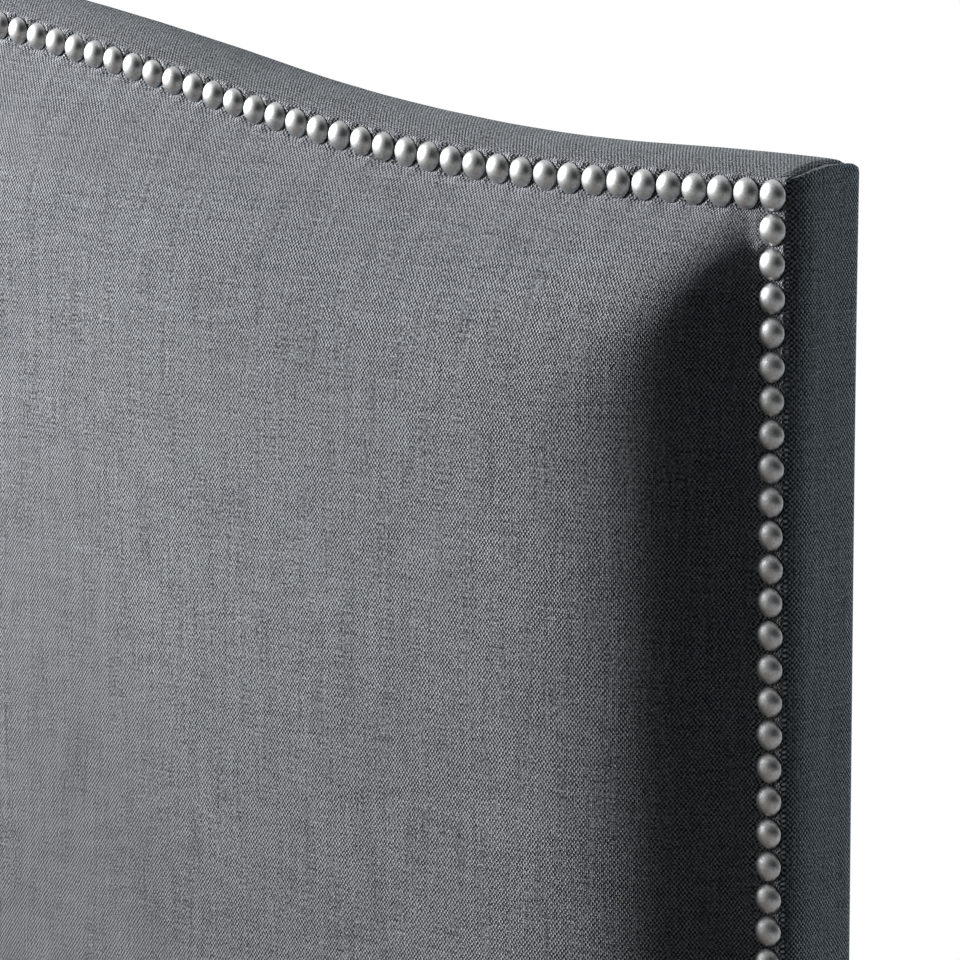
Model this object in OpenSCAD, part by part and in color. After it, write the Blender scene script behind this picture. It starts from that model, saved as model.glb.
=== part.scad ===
// Camelback upholstered bed, queen size, with a padded headboard edged in nail trim.
// The bed stands on the floor at z = 0, its head end at +Y and its foot end at -Y.

/* [Mattress] */
// Width of the mattress that the bed holds
mattress_w = 1524; // [1350:1:1930]
// Length of the mattress
mattress_l = 2032; // [1880:1:2130]
// Room left round the mattress on each side
mattress_gap = 8; // [4:1:20]
// Depth of the recess between the slats and the top of the side rails
recess_d = 75; // [50:1:90]

/* [Headboard outline] */
// Height of the flat shoulders above the floor
shoulder_h = 1245; // [1000:5:1500]
// Rise of the camelback crest above the shoulders
camel_rise = 72; // [40:1:120]
// Flat length of each shoulder, from the corner to the start of the curve
shoulder_flat = 90; // [80:1:200]
// Share of the curve on each side that is hollow, the rest being the round crest
hollow_share = 0.27; // [0.2:0.01:0.5]
// Height of the seam between the padded panel and the flat apron below it
pad_bottom_h = 380; // [370:5:500]
// How far each side of the headboard stands out past the side rail
headboard_overhang = 3.7; // [2:0.1:12]

/* [Headboard layers] */
// Thickness of the sawn frame
frame_t = 25; // [20:0.5:32]
// Thickness of the plywood panel on the front of the frame
panel_t = 9; // [6:0.5:12]
// Thickness of the foam where the nails hold it down
foam_edge_t = 1.3; // [1:0.1:3]
// Crown of the padding above its held-down border
pad_crown = 36; // [20:1:50]
// Width of the flat border that carries the nails
border_w = 13; // [12.5:0.5:20]
// Distance over which the padding rises from the border to its full crown
crown_run = 100; // [80:5:300]
// Power of the rising curve, which is steeper at the border when higher
crown_power = 3; // [2:0.5:6]
// Thickness of the linen cover
cloth_t = 1.5; // [1:0.1:2.5]
// Thickness of the dust cloth on the back
back_cloth_t = 1.2; // [0.8:0.1:2]
// Thickness of the bands round the edge, cloth and wadding together
band_t = 3; // [2:0.1:5]
// Crown of the band along the top
band_crown = 4.4; // [2:0.2:7]
// Play between a soft layer and what it lies on
soft_gap = 0.3; // [0.2:0.05:0.5]

/* [Nail trim] */
// Diameter of a nail head
nail_head_d = 11.1; // [9:0.1:11.5]
// Height of a nail head
nail_head_h = 3.6; // [2.5:0.1:5]
// Spacing of the nails, adjusted a little to fill each row evenly
nail_pitch = 12; // [11.8:0.1:16]
// Distance of the nail centres from the finished edge
nail_inset = 6.8; // [6:0.1:7]
// Diameter of a nail shank
nail_shank_d = 1.6; // [1.2:0.1:2]
// Length of a nail shank
nail_shank_l = 14; // [12:0.5:16]

/* [Headboard frame] */
// Width of the two posts
post_w = 70; // [60:1:78]
// Height of the straight rails
frame_rail_h = 80; // [60:1:100]
// Height of the sawn top rail below the shoulder line
top_rail_h = 90; // [70:1:120]
// Height of the middle rail above the floor
mid_rail_z = 740; // [600:5:850]
// Width of the centre stiles
stile_w = 90; // [90:1:120]
// Diameter of the dowels
dowel_d = 10; // [8:0.5:12]
// Length of the dowels
dowel_l = 60; // [40:1:80]
// Distance of each dowel of a pair from the middle of its joint
dowel_offset = 25; // [18:1:28]
// Radial play of a dowel or a bolt in its bore
fit_clear = 0.05; // [0.03:0.01:0.1]

/* [Side rails] */
// Height of the side rails above the floor
floor_gap = 110; // [90:1:150]
// Overall height of a side rail
rail_h = 250; // [220:1:280]
// Thickness of the side rail board
rail_board_t = 25; // [20:0.5:32]
// Thickness of the rail padding at its top and bottom edges
rail_pad_edge = 5; // [3:0.5:10]
// Crown of the rail padding
rail_pad_crown = 3; // [2:0.5:8]
// Radius of the padded edges of the rails and the footboard
soft_edge_r = 4.5; // [2:0.1:4.8]
// Width of the cover's return on the inner face of a rail
cover_return = 36; // [20:1:40]
// Width of the cleat that carries the slats
ledger_w = 30; // [20:1:40]
// Height of the cleat that carries the slats
ledger_h = 35; // [25:1:50]
// Distance of each end of the cleat from the headboard and the footboard
ledger_end = 50; // [46:1:90]

/* [Corner brackets] */
// Length of each leg of the steel angle
bracket_leg = 43; // [40:1:45]
// Thickness of the steel
bracket_t = 3; // [2:0.5:5]
// Height of the angle
bracket_h = 105; // [80:1:110]
// Height of the lower end of the angle above the floor
bracket_z = 165; // [155:1:175]
// Distance between the two holes of a leg
bracket_pitch = 64; // [40:1:70]
// Diameter of the frame bolts
bolt_d = 8; // [6:0.5:10]
// Length of a frame bolt below its washer
bolt_l = 25; // [18:0.5:28]
// Diameter of the washer under a bolt head
washer_d = 20; // [16:0.5:24]
// Diameter of the wood screws in the other leg
screw_d = 5; // [4:0.5:6]
// Length of a wood screw below its head
screw_l = 20; // [15:0.5:24]

/* [Footboard] */
// Overall height of the footboard above the floor
footboard_top = 380; // [370:1:500]
// Thickness of the footboard's core board
foot_core_t = 25; // [20:0.5:32]
// Thickness of the footboard padding at its edges
foot_pad_edge = 5; // [5:0.5:12]
// Crown of the footboard padding
foot_pad_crown = 14; // [8:0.5:24]
// Width of a leg where it meets the footboard
leg_top_w = 40; // [36:1:46]
// Width of a leg at its lower end
leg_bottom_w = 28; // [26:1:36]
// Distance of the leg centres from the ends of the footboard
leg_inset = 45; // [40:1:90]
// Length of the threaded bolt that joins a leg to the footboard
hanger_bolt_l = 70; // [50:1:90]
// Diameter of the glides under the posts and legs
glide_d = 22; // [18:0.5:24]
// Height of the glides
glide_h = 4; // [3:0.5:6]

/* [Slats and centre support] */
// Number of slats
slat_count = 12; // [8:1:14]
// Width of a slat
slat_w = 95; // [60:1:100]
// Thickness of a slat
slat_t = 18; // [15:0.5:25]
// Radius of the rounded slat edges
slat_edge_r = 3; // [1:0.5:5]
// Play between a slat end and the side rail
slat_end_gap = 5; // [3:0.5:8]
// Width of the webbing that spaces the slats
strap_w = 25; // [20:1:40]
// Thickness of the webbing
strap_t = 1.2; // [1:0.1:2]
// Width of the centre beam
beam_w = 40; // [30:1:50]
// Height of the centre beam
beam_h = 60; // [50:1:80]
// Thickness of the steel of the beam hangers
hanger_t = 3; // [2:0.5:4]
// Length of the beam that a hanger holds
hanger_hold = 45; // [30:1:60]
// Height of the beam that a hanger holds
hanger_h = 42; // [30:1:48]
// Play of the beam in its hangers
beam_clear = 0.4; // [0.3:0.1:1]
// Thickness of the two cheeks of a centre leg
cheek_t = 10; // [8:0.5:16]
// Height of the cheeks beside the beam
cheek_h = 30; // [20:1:45]
// Depth of a centre leg along the bed
centre_leg_d = 45; // [40:1:60]

/* [Levelling feet] */
// Diameter of the foot pad
pad_d = 38; // [30:1:50]
// Height of the foot pad
pad_h = 9; // [8:0.5:14]
// Diameter of the threaded stem
stem_d = 8; // [6:0.5:10]
// Length of the threaded stem
stem_l = 60; // [50:1:75]
// Height of the hexagon on the stem
hex_h = 5; // [4:0.5:7]
// Width of the hexagon across its corners
hex_d = 15; // [13:0.5:17]
// How far the foot screws out of the leg
level_travel = 15; // [8:1:18]
// Length of the threaded insert in the leg
insert_l = 14; // [10:0.5:18]
// Diameter of the insert
insert_d = 11; // [10.5:0.5:14]
// Diameter of the insert's flange
flange_d = 22; // [18:0.5:26]
// Thickness of the insert's flange
flange_t = 1.5; // [1:0.1:2.5]

/* [Hidden] */

// Overrun of every cut past the face that it opens
over = 1;
$fn = 48;

linen = [0.35, 0.36, 0.38];
linen_dark = [0.3, 0.31, 0.33];
dust_black = [0.12, 0.12, 0.13];
foam_white = [0.9, 0.88, 0.8];
pine = [0.83, 0.7, 0.5];
ply = [0.77, 0.62, 0.42];
dark_wood = [0.16, 0.11, 0.08];
pewter = [0.68, 0.68, 0.69];
black_steel = [0.15, 0.15, 0.16];
zinc = [0.62, 0.64, 0.66];
nylon = [0.2, 0.2, 0.2];
webbing = [0.55, 0.54, 0.5];

// Widths, from the mattress outwards
soft_skin = soft_gap + cloth_t;
recess_half_w = mattress_w / 2 + mattress_gap;
board_x = recess_half_w + soft_skin;
rail_outer_x = board_x + rail_board_t + rail_pad_edge + rail_pad_crown + soft_skin;
half_w = rail_outer_x + headboard_overhang;

// Depths, from the back of the headboard to the front of the footboard
border_t = foam_edge_t + soft_gap + cloth_t;
edge_depth = back_cloth_t + frame_t + panel_t + border_t;
recess_l = mattress_l + 2 * mattress_gap;
foot_t = soft_skin + foot_core_t + foot_pad_edge + foot_pad_crown + soft_skin;
total_l = edge_depth + pad_crown + recess_l + foot_t;
back_y = total_l / 2;
frame_back_y = back_y - back_cloth_t;
panel_back_y = frame_back_y - frame_t;
panel_front_y = panel_back_y - panel_t;
cover_back_y = panel_front_y - foam_edge_t - soft_gap;
face_y = cover_back_y - cloth_t;
crown_y = face_y - pad_crown;
foot_inner_y = crown_y - recess_l;
frame_mid_y = frame_back_y - frame_t / 2;

// Heights
rail_top = floor_gap + rail_h;
slat_top = rail_top - recess_d;
deck_z = slat_top - slat_t;
post_inset = band_t + soft_gap;
rim_inset = soft_gap;
frame_top_z = shoulder_h - post_inset - top_rail_h;

// Curve of the camelback: a hollow arc rises from each shoulder and runs into the crest arc
curve_w = half_w - shoulder_flat;
slope_max = 2 * atan(camel_rise / curve_w);
sweep_r = curve_w / sin(slope_max);
hollow_r = hollow_share * sweep_r;
crest_r = sweep_r - hollow_r;
crest_h = shoulder_h + camel_rise;
hollow_steps = 10;
crest_steps = 20;
band_stops_share = [0, 0.08, 0.25, 0.55];

function hollow_point(a, inset) = [
    curve_w - (hollow_r + inset) * sin(a),
    shoulder_h + hollow_r - (hollow_r + inset) * cos(a)
];
function crest_point(a, inset) = [
    (crest_r - inset) * sin(a),
    crest_h - crest_r + (crest_r - inset) * cos(a)
];
function hollow_arc(inset) = [
    for (k = [0:hollow_steps]) hollow_point(slope_max * k / hollow_steps, inset)
];
function crest_arc(inset) = [
    for (k = [1:2 * crest_steps - 1]) crest_point(slope_max * (1 - k / crest_steps), inset)
];
function mirrored(points) = [
    for (k = [len(points) - 1:-1:0]) [-points[k][0], points[k][1]]
];
function curve_line(inset) = concat(
    hollow_arc(inset),
    crest_arc(inset),
    mirrored(hollow_arc(inset))
);
function outline(inset, bottom) = concat(
    [[half_w - inset, bottom], [half_w - inset, shoulder_h - inset]],
    curve_line(inset),
    [[-half_w + inset, shoulder_h - inset], [-half_w + inset, bottom]]
);
// Height of the outline at a distance from the middle, drawn in by an inset
function camel_z(x, inset) =
    abs(x) >= curve_w ? shoulder_h - inset
    : abs(x) >= (crest_r - inset) * sin(slope_max)
        ? shoulder_h + hollow_r - sqrt(pow(hollow_r + inset, 2) - pow(curve_w - abs(x), 2))
    : crest_h - crest_r + sqrt(pow(crest_r - inset, 2) - pow(x, 2));

// A flat layer of the headboard that follows its outline
module headboard_layer(inset, bottom, layer_back_y, layer_t) {
    translate([0, layer_back_y, 0])
        rotate([90, 0, 0])
            linear_extrude(height = layer_t)
                polygon(outline(inset, bottom));
}

// A board that lies between two corners
module board(low, high) {
    translate(low)
        cube(high - low);
}

// A round bar between two ends along one axis
module bar_x(x0, x1, y, z, r) {
    translate([x0, y, z])
        rotate([0, 90, 0])
            cylinder(r = r, h = x1 - x0);
}
module bar_y(y0, y1, x, z, r) {
    translate([x, y0, z])
        rotate([-90, 0, 0])
            cylinder(r = r, h = y1 - y0);
}
module bar_z(z0, z1, x, y, r) {
    translate([x, y, z0])
        cylinder(r = r, h = z1 - z0);
}

// Headboard frame
post_inner_x = half_w - post_inset - post_w;
frame_bottom_z = floor_gap;
rail_joint_heights = [
    frame_bottom_z + frame_rail_h / 2,
    mid_rail_z + frame_rail_h / 2,
    frame_top_z + top_rail_h / 2
];
stile_joint_heights = [
    frame_bottom_z + frame_rail_h,
    mid_rail_z,
    mid_rail_z + frame_rail_h,
    frame_top_z
];

module dowels(grow) {
    for (side = [-1, 1], z = rail_joint_heights, pair = [-1, 1]) {
        bar_x(
            side * post_inner_x - dowel_l / 2 - grow,
            side * post_inner_x + dowel_l / 2 + grow,
            frame_mid_y,
            z + pair * dowel_offset,
            dowel_d / 2 + grow
        );
    }
    for (z = stile_joint_heights, pair = [-1, 1]) {
        bar_z(
            z - dowel_l / 2 - grow,
            z + dowel_l / 2 + grow,
            pair * dowel_offset,
            frame_mid_y,
            dowel_d / 2 + grow
        );
    }
}

module headboard_post(side) {
    color(dark_wood)
        difference() {
            board(
                [side * (post_inner_x + post_w / 2) - post_w / 2, frame_back_y - frame_t, glide_h],
                [side * (post_inner_x + post_w / 2) + post_w / 2, frame_back_y, shoulder_h - post_inset]
            );
            dowels(fit_clear);
            frame_bolt_bores(bolt_d / 2 + fit_clear);
        }
}
module headboard_post_left() { headboard_post(-1); }
module headboard_post_right() { headboard_post(1); }

module camelback_rail() {
    color(pine)
        difference() {
            headboard_layer(post_inset, frame_top_z, frame_back_y, frame_t);
            for (side = [-1, 1]) {
                board(
                    [side * (post_inner_x + post_w) - post_w, panel_back_y - over, frame_top_z - over],
                    [side * (post_inner_x + post_w) + post_w, frame_back_y + over, crest_h]
                );
            }
            dowels(fit_clear);
        }
}

module frame_rail(z) {
    color(pine)
        difference() {
            board(
                [-post_inner_x, panel_back_y, z],
                [post_inner_x, frame_back_y, z + frame_rail_h]
            );
            dowels(fit_clear);
        }
}
module headboard_mid_rail() { frame_rail(mid_rail_z); }
module headboard_bottom_rail() { frame_rail(frame_bottom_z); }

module frame_stile(z0, z1) {
    color(pine)
        difference() {
            board([-stile_w / 2, panel_back_y, z0], [stile_w / 2, frame_back_y, z1]);
            dowels(fit_clear);
            frame_bolt_bores(bolt_d / 2 + fit_clear);
        }
}
module headboard_stile_lower() { frame_stile(stile_joint_heights[0], stile_joint_heights[1]); }
module headboard_stile_upper() { frame_stile(stile_joint_heights[2], stile_joint_heights[3]); }

module headboard_dowels() {
    color(ply)
        dowels(0);
}

module headboard_panel() {
    color(ply)
        difference() {
            headboard_layer(post_inset, frame_bottom_z, panel_back_y, panel_t);
            frame_bolt_bores(bolt_d / 2 + fit_clear);
        }
}

// Padding of the headboard: a grid of columns across and rows up, close together where it rises
side_stops_share = [0, 0.08, 0.18, 0.3, 0.45, 0.62, 0.8, 1];
top_stops_share = [0, 0.08, 0.18, 0.3, 0.45, 0.62, 0.8, 1];
low_stops_share = [0, 0.18, 0.45, 1];
hollow_columns = 5;
crest_columns = 9;
hollow_end = crest_r * sin(slope_max);
mid_rows = 2;

function stops(rim, shares) = concat([rim], [for (s = shares) border_w + s * crown_run]);
function crown_at(inset) =
    inset <= border_w ? 0
    : inset >= border_w + crown_run ? 1
    : 1 - pow(1 - (inset - border_w) / crown_run, crown_power);
function reversed(list) = [for (k = [len(list) - 1:-1:0]) list[k]];
// Columns between the two slopes, closer together in the hollow of the outline than at its crest
function hollow_places(last) = [
    for (k = [1:hollow_columns]) last + (hollow_end - last) * k / hollow_columns
];
function middle_places(last) = concat(
    [for (x = hollow_places(last)) -x],
    [for (k = [1:crest_columns]) hollow_end * (2 * k / (crest_columns + 1) - 1)],
    reversed(hollow_places(last))
);
// Each column is its place across and the share of the crown that it reaches
function columns(rim) = let (
        insets = stops(rim, side_stops_share),
        last = half_w - insets[len(insets) - 1]
    ) concat(
        [for (i = insets) [-(half_w - i), crown_at(i)]],
        [for (x = middle_places(last)) [x, 1]],
        [for (i = reversed(insets)) [half_w - i, crown_at(i)]]
    );
// Each row of a column is its height and the share of the crown that it reaches
function rows(x, rim) = let (
        low = stops(rim, low_stops_share),
        high = stops(rim, top_stops_share),
        z0 = pad_bottom_h + low[len(low) - 1],
        z1 = camel_z(x, high[len(high) - 1])
    ) concat(
        [for (i = low) [pad_bottom_h + i, crown_at(i)]],
        [for (k = [1:mid_rows]) [z0 + (z1 - z0) * k / (mid_rows + 1), 1]],
        [for (i = reversed(high)) [camel_z(x, i), crown_at(i)]]
    );
function pad_points(rim, base_y, crown) = [
    for (column = columns(rim))
        for (row = rows(column[0], rim))
            [column[0], base_y - crown * column[1] * row[1], row[0]]
];
column_count = len(columns(0));
row_count = len(rows(0, 0));

// Faces of a grid of points: its front, its back and the loop of points round its edge
function front_faces(cols, rws, base) = [
    for (c = [0:cols - 2])
        for (r = [0:rws - 2])
            let (p = base + c * rws + r)
                for (corner = [1, rws])
                    corner == 1 ? [p, p + 1, p + rws + 1] : [p, p + rws + 1, p + rws]
];
function turned_faces(faces) = [for (f = faces) [f[2], f[1], f[0]]];
function edge_loop(cols, rws) = concat(
    [for (c = [0:cols - 1]) c * rws],
    [for (r = [1:rws - 1]) (cols - 1) * rws + r],
    [for (c = [cols - 2:-1:0]) c * rws + rws - 1],
    [for (r = [rws - 2:-1:1]) r]
);
function wall_faces(front_loop, back_loop) = let (n = len(front_loop)) [
    for (k = [0:n - 1])
        for (half = [0, 1])
            half == 0
                ? [front_loop[k], front_loop[(k + 1) % n], back_loop[(k + 1) % n]]
                : [front_loop[k], back_loop[(k + 1) % n], back_loop[k]]
];

// A closed solid between two grids of points, one in front of the other
module between_grids(front, back) {
    loop = edge_loop(column_count, row_count);
    count = len(front);
    polyhedron(
        points = concat(front, back),
        faces = concat(
            front_faces(column_count, row_count, 0),
            turned_faces(front_faces(column_count, row_count, count)),
            wall_faces(loop, [for (i = loop) count + i])
        )
    );
}

module headboard_foam() {
    color(foam_white)
        between_grids(
            pad_points(post_inset, panel_front_y - foam_edge_t, pad_crown),
            pad_points(post_inset, panel_front_y, 0)
        );
}

module headboard_cover() {
    color(linen)
        between_grids(
            pad_points(rim_inset, face_y, pad_crown),
            pad_points(rim_inset, cover_back_y, pad_crown)
        );
}

module headboard_apron() {
    color(linen)
        difference() {
            union() {
                board(
                    [-half_w + post_inset, cover_back_y, floor_gap],
                    [half_w - post_inset, panel_front_y, pad_bottom_h]
                );
                board(
                    [-half_w + rim_inset, face_y, floor_gap],
                    [half_w - rim_inset, cover_back_y, pad_bottom_h]
                );
            }
            frame_bolt_bores(bolt_d / 2 + fit_clear);
        }
}

// Band along the top: a crowned strip swept along the outline from one corner to the other
band_depth = frame_back_y - cover_back_y;
band_peak_share = 0.56;
band_depth_shares = [0, 0.07, 0.19, 0.36, 0.56, 0.74, 0.87, 0.96, 1];
band_corner_share = 0.65;
band_back_drop = band_crown / 4;
band_front_power = 2.2;
band_back_power = 2.5;

function band_height(s, crown) =
    s < band_peak_share
        ? crown * (1 - pow(1 - s / band_peak_share, band_front_power))
        : crown - (crown + band_back_drop)
            * pow((s - band_peak_share) / (1 - band_peak_share), band_back_power);
function shoulder_stops(inset) = [
    for (s = band_stops_share) [half_w - s * shoulder_flat, shoulder_h - inset]
];
function band_line(inset) = concat(
    shoulder_stops(inset),
    curve_line(inset),
    mirrored(shoulder_stops(inset))
);
function band_crown_at(k, count) = let (stop = min(k, count - 1 - k))
    stop >= len(band_stops_share) - 1 ? band_crown
    : band_crown * (band_corner_share + (1 - band_corner_share) * stop / (len(band_stops_share) - 1));
function band_section(k, count) = let (crown = band_crown_at(k, count)) concat(
    [for (s = band_depth_shares)
        let (p = band_line(-band_height(s, crown))[k])
            [p[0], cover_back_y + s * band_depth, p[1]]],
    [for (s = [1, 0])
        let (p = band_line(band_t)[k])
            [p[0], cover_back_y + s * band_depth, p[1]]]
);

module headboard_top_band() {
    count = len(band_line(0));
    section_count = len(band_depth_shares) + 2;
    points = [for (k = [0:count - 1]) each band_section(k, count)];
    sides = [
        for (k = [0:count - 2])
            for (j = [0:section_count - 1])
                let (
                    a = k * section_count + j,
                    b = k * section_count + (j + 1) % section_count
                )
                    for (half = [0, 1])
                        half == 0
                            ? [a, b, b + section_count]
                            : [a, b + section_count, a + section_count]
    ];
    first_end = [for (j = [section_count - 1:-1:0]) j];
    last_end = [for (j = [0:section_count - 1]) (count - 1) * section_count + j];
    color(linen_dark)
        polyhedron(points = points, faces = concat(sides, [first_end, last_end]));
}

// Bands down the two sides, with their outer corners rounded
band_edge_r = band_t / 2;
module side_band(side) {
    color(linen_dark)
        translate([0, 0, floor_gap])
            linear_extrude(height = shoulder_h - band_t - soft_gap - floor_gap)
                mirror([side < 0 ? 1 : 0, 0])
                    translate([half_w - band_t, cover_back_y])
                        union() {
                            square([band_t - band_edge_r, band_depth]);
                            translate([0, band_edge_r])
                                square([band_t, band_depth - 2 * band_edge_r]);
                            for (y = [band_edge_r, band_depth - band_edge_r]) {
                                translate([band_t - band_edge_r, y])
                                    circle(r = band_edge_r);
                            }
                        }
}
module headboard_side_band_left() { side_band(-1); }
module headboard_side_band_right() { side_band(1); }

module headboard_back_cover() {
    color(dust_black)
        headboard_layer(rim_inset, floor_gap, back_y, back_cloth_t);
}

// Nail trim: one row from corner to corner along the top, and one down each side
nail_r = nail_head_d / 2;
nail_dome_r = (nail_r * nail_r + nail_head_h * nail_head_h) / (2 * nail_head_h);
nail_flat_l = shoulder_flat - nail_inset;
nail_hollow_l = (hollow_r + nail_inset) * slope_max * PI / 180;
nail_crest_l = (crest_r - nail_inset) * slope_max * PI / 180;
nail_row_l = 2 * (nail_flat_l + nail_hollow_l + nail_crest_l);
top_spaces = round(nail_row_l / nail_pitch);
nail_top_z = shoulder_h - nail_inset;
nail_column_l = nail_top_z - pad_bottom_h - nail_inset;
side_spaces = floor(nail_column_l / nail_pitch);

// Place of a nail at a distance along the top row from the right corner
function row_spot(s) =
    s > nail_row_l / 2 ? let (p = row_spot(nail_row_l - s)) [-p[0], p[1]]
    : s <= nail_flat_l ? [half_w - nail_inset - s, nail_top_z]
    : s <= nail_flat_l + nail_hollow_l
        ? hollow_point(slope_max * (s - nail_flat_l) / nail_hollow_l, nail_inset)
    : crest_point(slope_max * (1 - (s - nail_flat_l - nail_hollow_l) / nail_crest_l), nail_inset);

module nail(x, z) {
    translate([x, face_y, z])
        rotate([90, 0, 0])
            union() {
                rotate_extrude()
                    intersection() {
                        translate([0, nail_head_h - nail_dome_r])
                            circle(r = nail_dome_r);
                        square([nail_dome_r, nail_head_h]);
                    }
                translate([0, 0, -nail_shank_l])
                    cylinder(d = nail_shank_d, h = nail_shank_l + nail_head_h / 2);
            }
}

module nail_trim_top() {
    color(pewter)
        for (k = [0:top_spaces]) {
            spot = row_spot(nail_row_l * k / top_spaces);
            nail(spot[0], spot[1]);
        }
}
module nail_column(side) {
    color(pewter)
        for (k = [1:side_spaces]) {
            nail(side * (half_w - nail_inset), nail_top_z - nail_column_l * k / side_spaces);
        }
}
module nail_trim_left() { nail_column(-1); }
module nail_trim_right() { nail_column(1); }

// Section of a padded board: its core from the inner face outwards, a crowned outer face with
// rounded edges, and everything grown by the thickness of what is laid over it
face_steps = 16;
module padded_section(core_t, h, edge, crown, grow) {
    face_h = h - 2 * soft_edge_r;
    arc_r = (face_h * face_h / 4 + crown * crown) / (2 * crown);
    arc_half = asin(face_h / 2 / arc_r);
    arc_x = core_t + edge + crown - arc_r;
    crowned_face = [
        for (k = [0:face_steps])
            let (a = arc_half * (2 * k / face_steps - 1))
                [arc_x + (arc_r + grow) * cos(a), h / 2 + (arc_r + grow) * sin(a)]
    ];
    union() {
        translate([-grow, -grow])
            square([core_t + edge - soft_edge_r + grow, h + 2 * grow]);
        translate([-grow, soft_edge_r])
            square([core_t + edge + 2 * grow, face_h]);
        for (v = [soft_edge_r, h - soft_edge_r]) {
            translate([core_t + edge - soft_edge_r, v])
                circle(r = soft_edge_r + grow);
        }
        polygon(concat([[core_t, h - soft_edge_r], [core_t, soft_edge_r]], crowned_face));
    }
}

// Side rails
rail_board_h = rail_h - 2 * soft_skin;
board_z = floor_gap + soft_skin;
window_low = cover_return - soft_skin;

// Lays a section out along a side rail, its inner face towards the mattress
module along_rail(side) {
    mirror([side < 0 ? 1 : 0, 0, 0])
        translate([board_x, face_y, board_z])
            rotate([90, 0, 0])
                linear_extrude(height = face_y - foot_inner_y)
                    children();
}
module rail_section(grow) {
    padded_section(rail_board_t, rail_board_h, rail_pad_edge, rail_pad_crown, grow);
}

module side_rail(side) {
    color(pine)
        difference() {
            along_rail(side)
                square([rail_board_t, rail_board_h]);
            bracket_screw_bores(screw_d / 2 + fit_clear);
        }
}
module side_rail_left() { side_rail(-1); }
module side_rail_right() { side_rail(1); }

module rail_padding(side) {
    color(foam_white)
        along_rail(side)
            difference() {
                rail_section(0);
                translate([-over, -over])
                    square([rail_board_t + over, rail_board_h + 2 * over]);
            }
}
module rail_padding_left() { rail_padding(-1); }
module rail_padding_right() { rail_padding(1); }

module rail_cover(side) {
    color(linen)
        along_rail(side)
            difference() {
                rail_section(soft_skin);
                rail_section(soft_gap);
                translate([-soft_skin - over, window_low])
                    square([soft_skin + 2 * over, rail_board_h - 2 * window_low]);
            }
}
module rail_cover_left() { rail_cover(-1); }
module rail_cover_right() { rail_cover(1); }

module slat_ledger(side) {
    color(pine)
        board(
            [side * (board_x - ledger_w / 2) - ledger_w / 2, foot_inner_y + ledger_end, deck_z - ledger_h],
            [side * (board_x - ledger_w / 2) + ledger_w / 2, face_y - ledger_end, deck_z]
        );
}
module slat_ledger_left() { slat_ledger(-1); }
module slat_ledger_right() { slat_ledger(1); }

// Corner brackets: steel angles between the rails and the two ends, each with two bolts and
// two wood screws
bracket_mid_z = bracket_z + bracket_h / 2;
bracket_bolt_x = board_x - bracket_leg / 2;
bracket_screw_inset = bracket_leg / 2 + bracket_t / 2;
bracket_screw_ys = [face_y - bracket_screw_inset, foot_inner_y + bracket_screw_inset];
head_h = bolt_d * 0.6;
washer_t = bolt_d / 5;
screw_head_h = screw_d / 2;
hanger_bolt_x = beam_w / 2 + beam_clear + hanger_t + washer_d / 2 + washer_t;
hanger_bolt_z = deck_z - beam_h / 2;
hanger_plate_half_w = hanger_bolt_x + washer_d / 2;

// Places of the bolts that enter one end of the bed, across and up
frame_bolt_places = concat(
    [for (side = [-1, 1], pair = [-1, 1])
        [side * bracket_bolt_x, bracket_mid_z + pair * bracket_pitch / 2]],
    [for (side = [-1, 1]) [side * hanger_bolt_x, hanger_bolt_z]]
);
module frame_bolt_bores(r) {
    for (place = frame_bolt_places) {
        bar_y(face_y - bracket_t - over, face_y - bracket_t + bolt_l + fit_clear, place[0], place[1], r);
        bar_y(
            foot_inner_y + bracket_t - bolt_l - fit_clear,
            foot_inner_y + bracket_t + over,
            place[0],
            place[1],
            r
        );
    }
}
module bracket_screw_bores(r) {
    for (side = [-1, 1], end = bracket_screw_ys, pair = [-1, 1]) {
        bar_x(
            side * (board_x - bracket_t / 2 + screw_l / 2) - screw_l / 2 - bracket_t,
            side * (board_x - bracket_t / 2 + screw_l / 2) + screw_l / 2 + bracket_t,
            end,
            bracket_mid_z + pair * bracket_pitch / 2,
            r
        );
    }
}

// One angle in the corner at the right of an end; inward is the way along Y into the bed
module corner_angle(end_y, inward) {
    board(
        [board_x - bracket_t, min(end_y, end_y + inward * bracket_leg), bracket_z],
        [board_x, max(end_y, end_y + inward * bracket_leg), bracket_z + bracket_h]
    );
    board(
        [board_x - bracket_leg, min(end_y, end_y + inward * bracket_t), bracket_z],
        [board_x, max(end_y, end_y + inward * bracket_t), bracket_z + bracket_h]
    );
}
module bracket_pair(end_y, inward) {
    color(black_steel)
        difference() {
            for (turn = [0, 1]) {
                mirror([turn, 0, 0])
                    corner_angle(end_y, inward);
            }
            frame_bolt_bores(bolt_d / 2 + fit_clear);
            bracket_screw_bores(screw_d / 2 + fit_clear);
        }
}
module head_brackets() { bracket_pair(face_y, -1); }
module foot_brackets() { bracket_pair(foot_inner_y, 1); }

// A bolt with its washer, its shank running up from the face that the washer bears on
module frame_bolt() {
    translate([0, 0, -washer_t])
        cylinder(d = washer_d, h = washer_t);
    translate([0, 0, -washer_t - head_h])
        cylinder(d = bolt_d * 1.6, h = head_h + washer_t / 2, $fn = 6);
    translate([0, 0, -washer_t / 2])
        cylinder(d = bolt_d, h = bolt_l + washer_t / 2);
}
module frame_bolts() {
    color(zinc)
        for (place = frame_bolt_places) {
            translate([place[0], face_y - bracket_t, place[1]])
                rotate([-90, 0, 0])
                    frame_bolt();
            translate([place[0], foot_inner_y + bracket_t, place[1]])
                rotate([90, 0, 0])
                    frame_bolt();
        }
}

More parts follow.
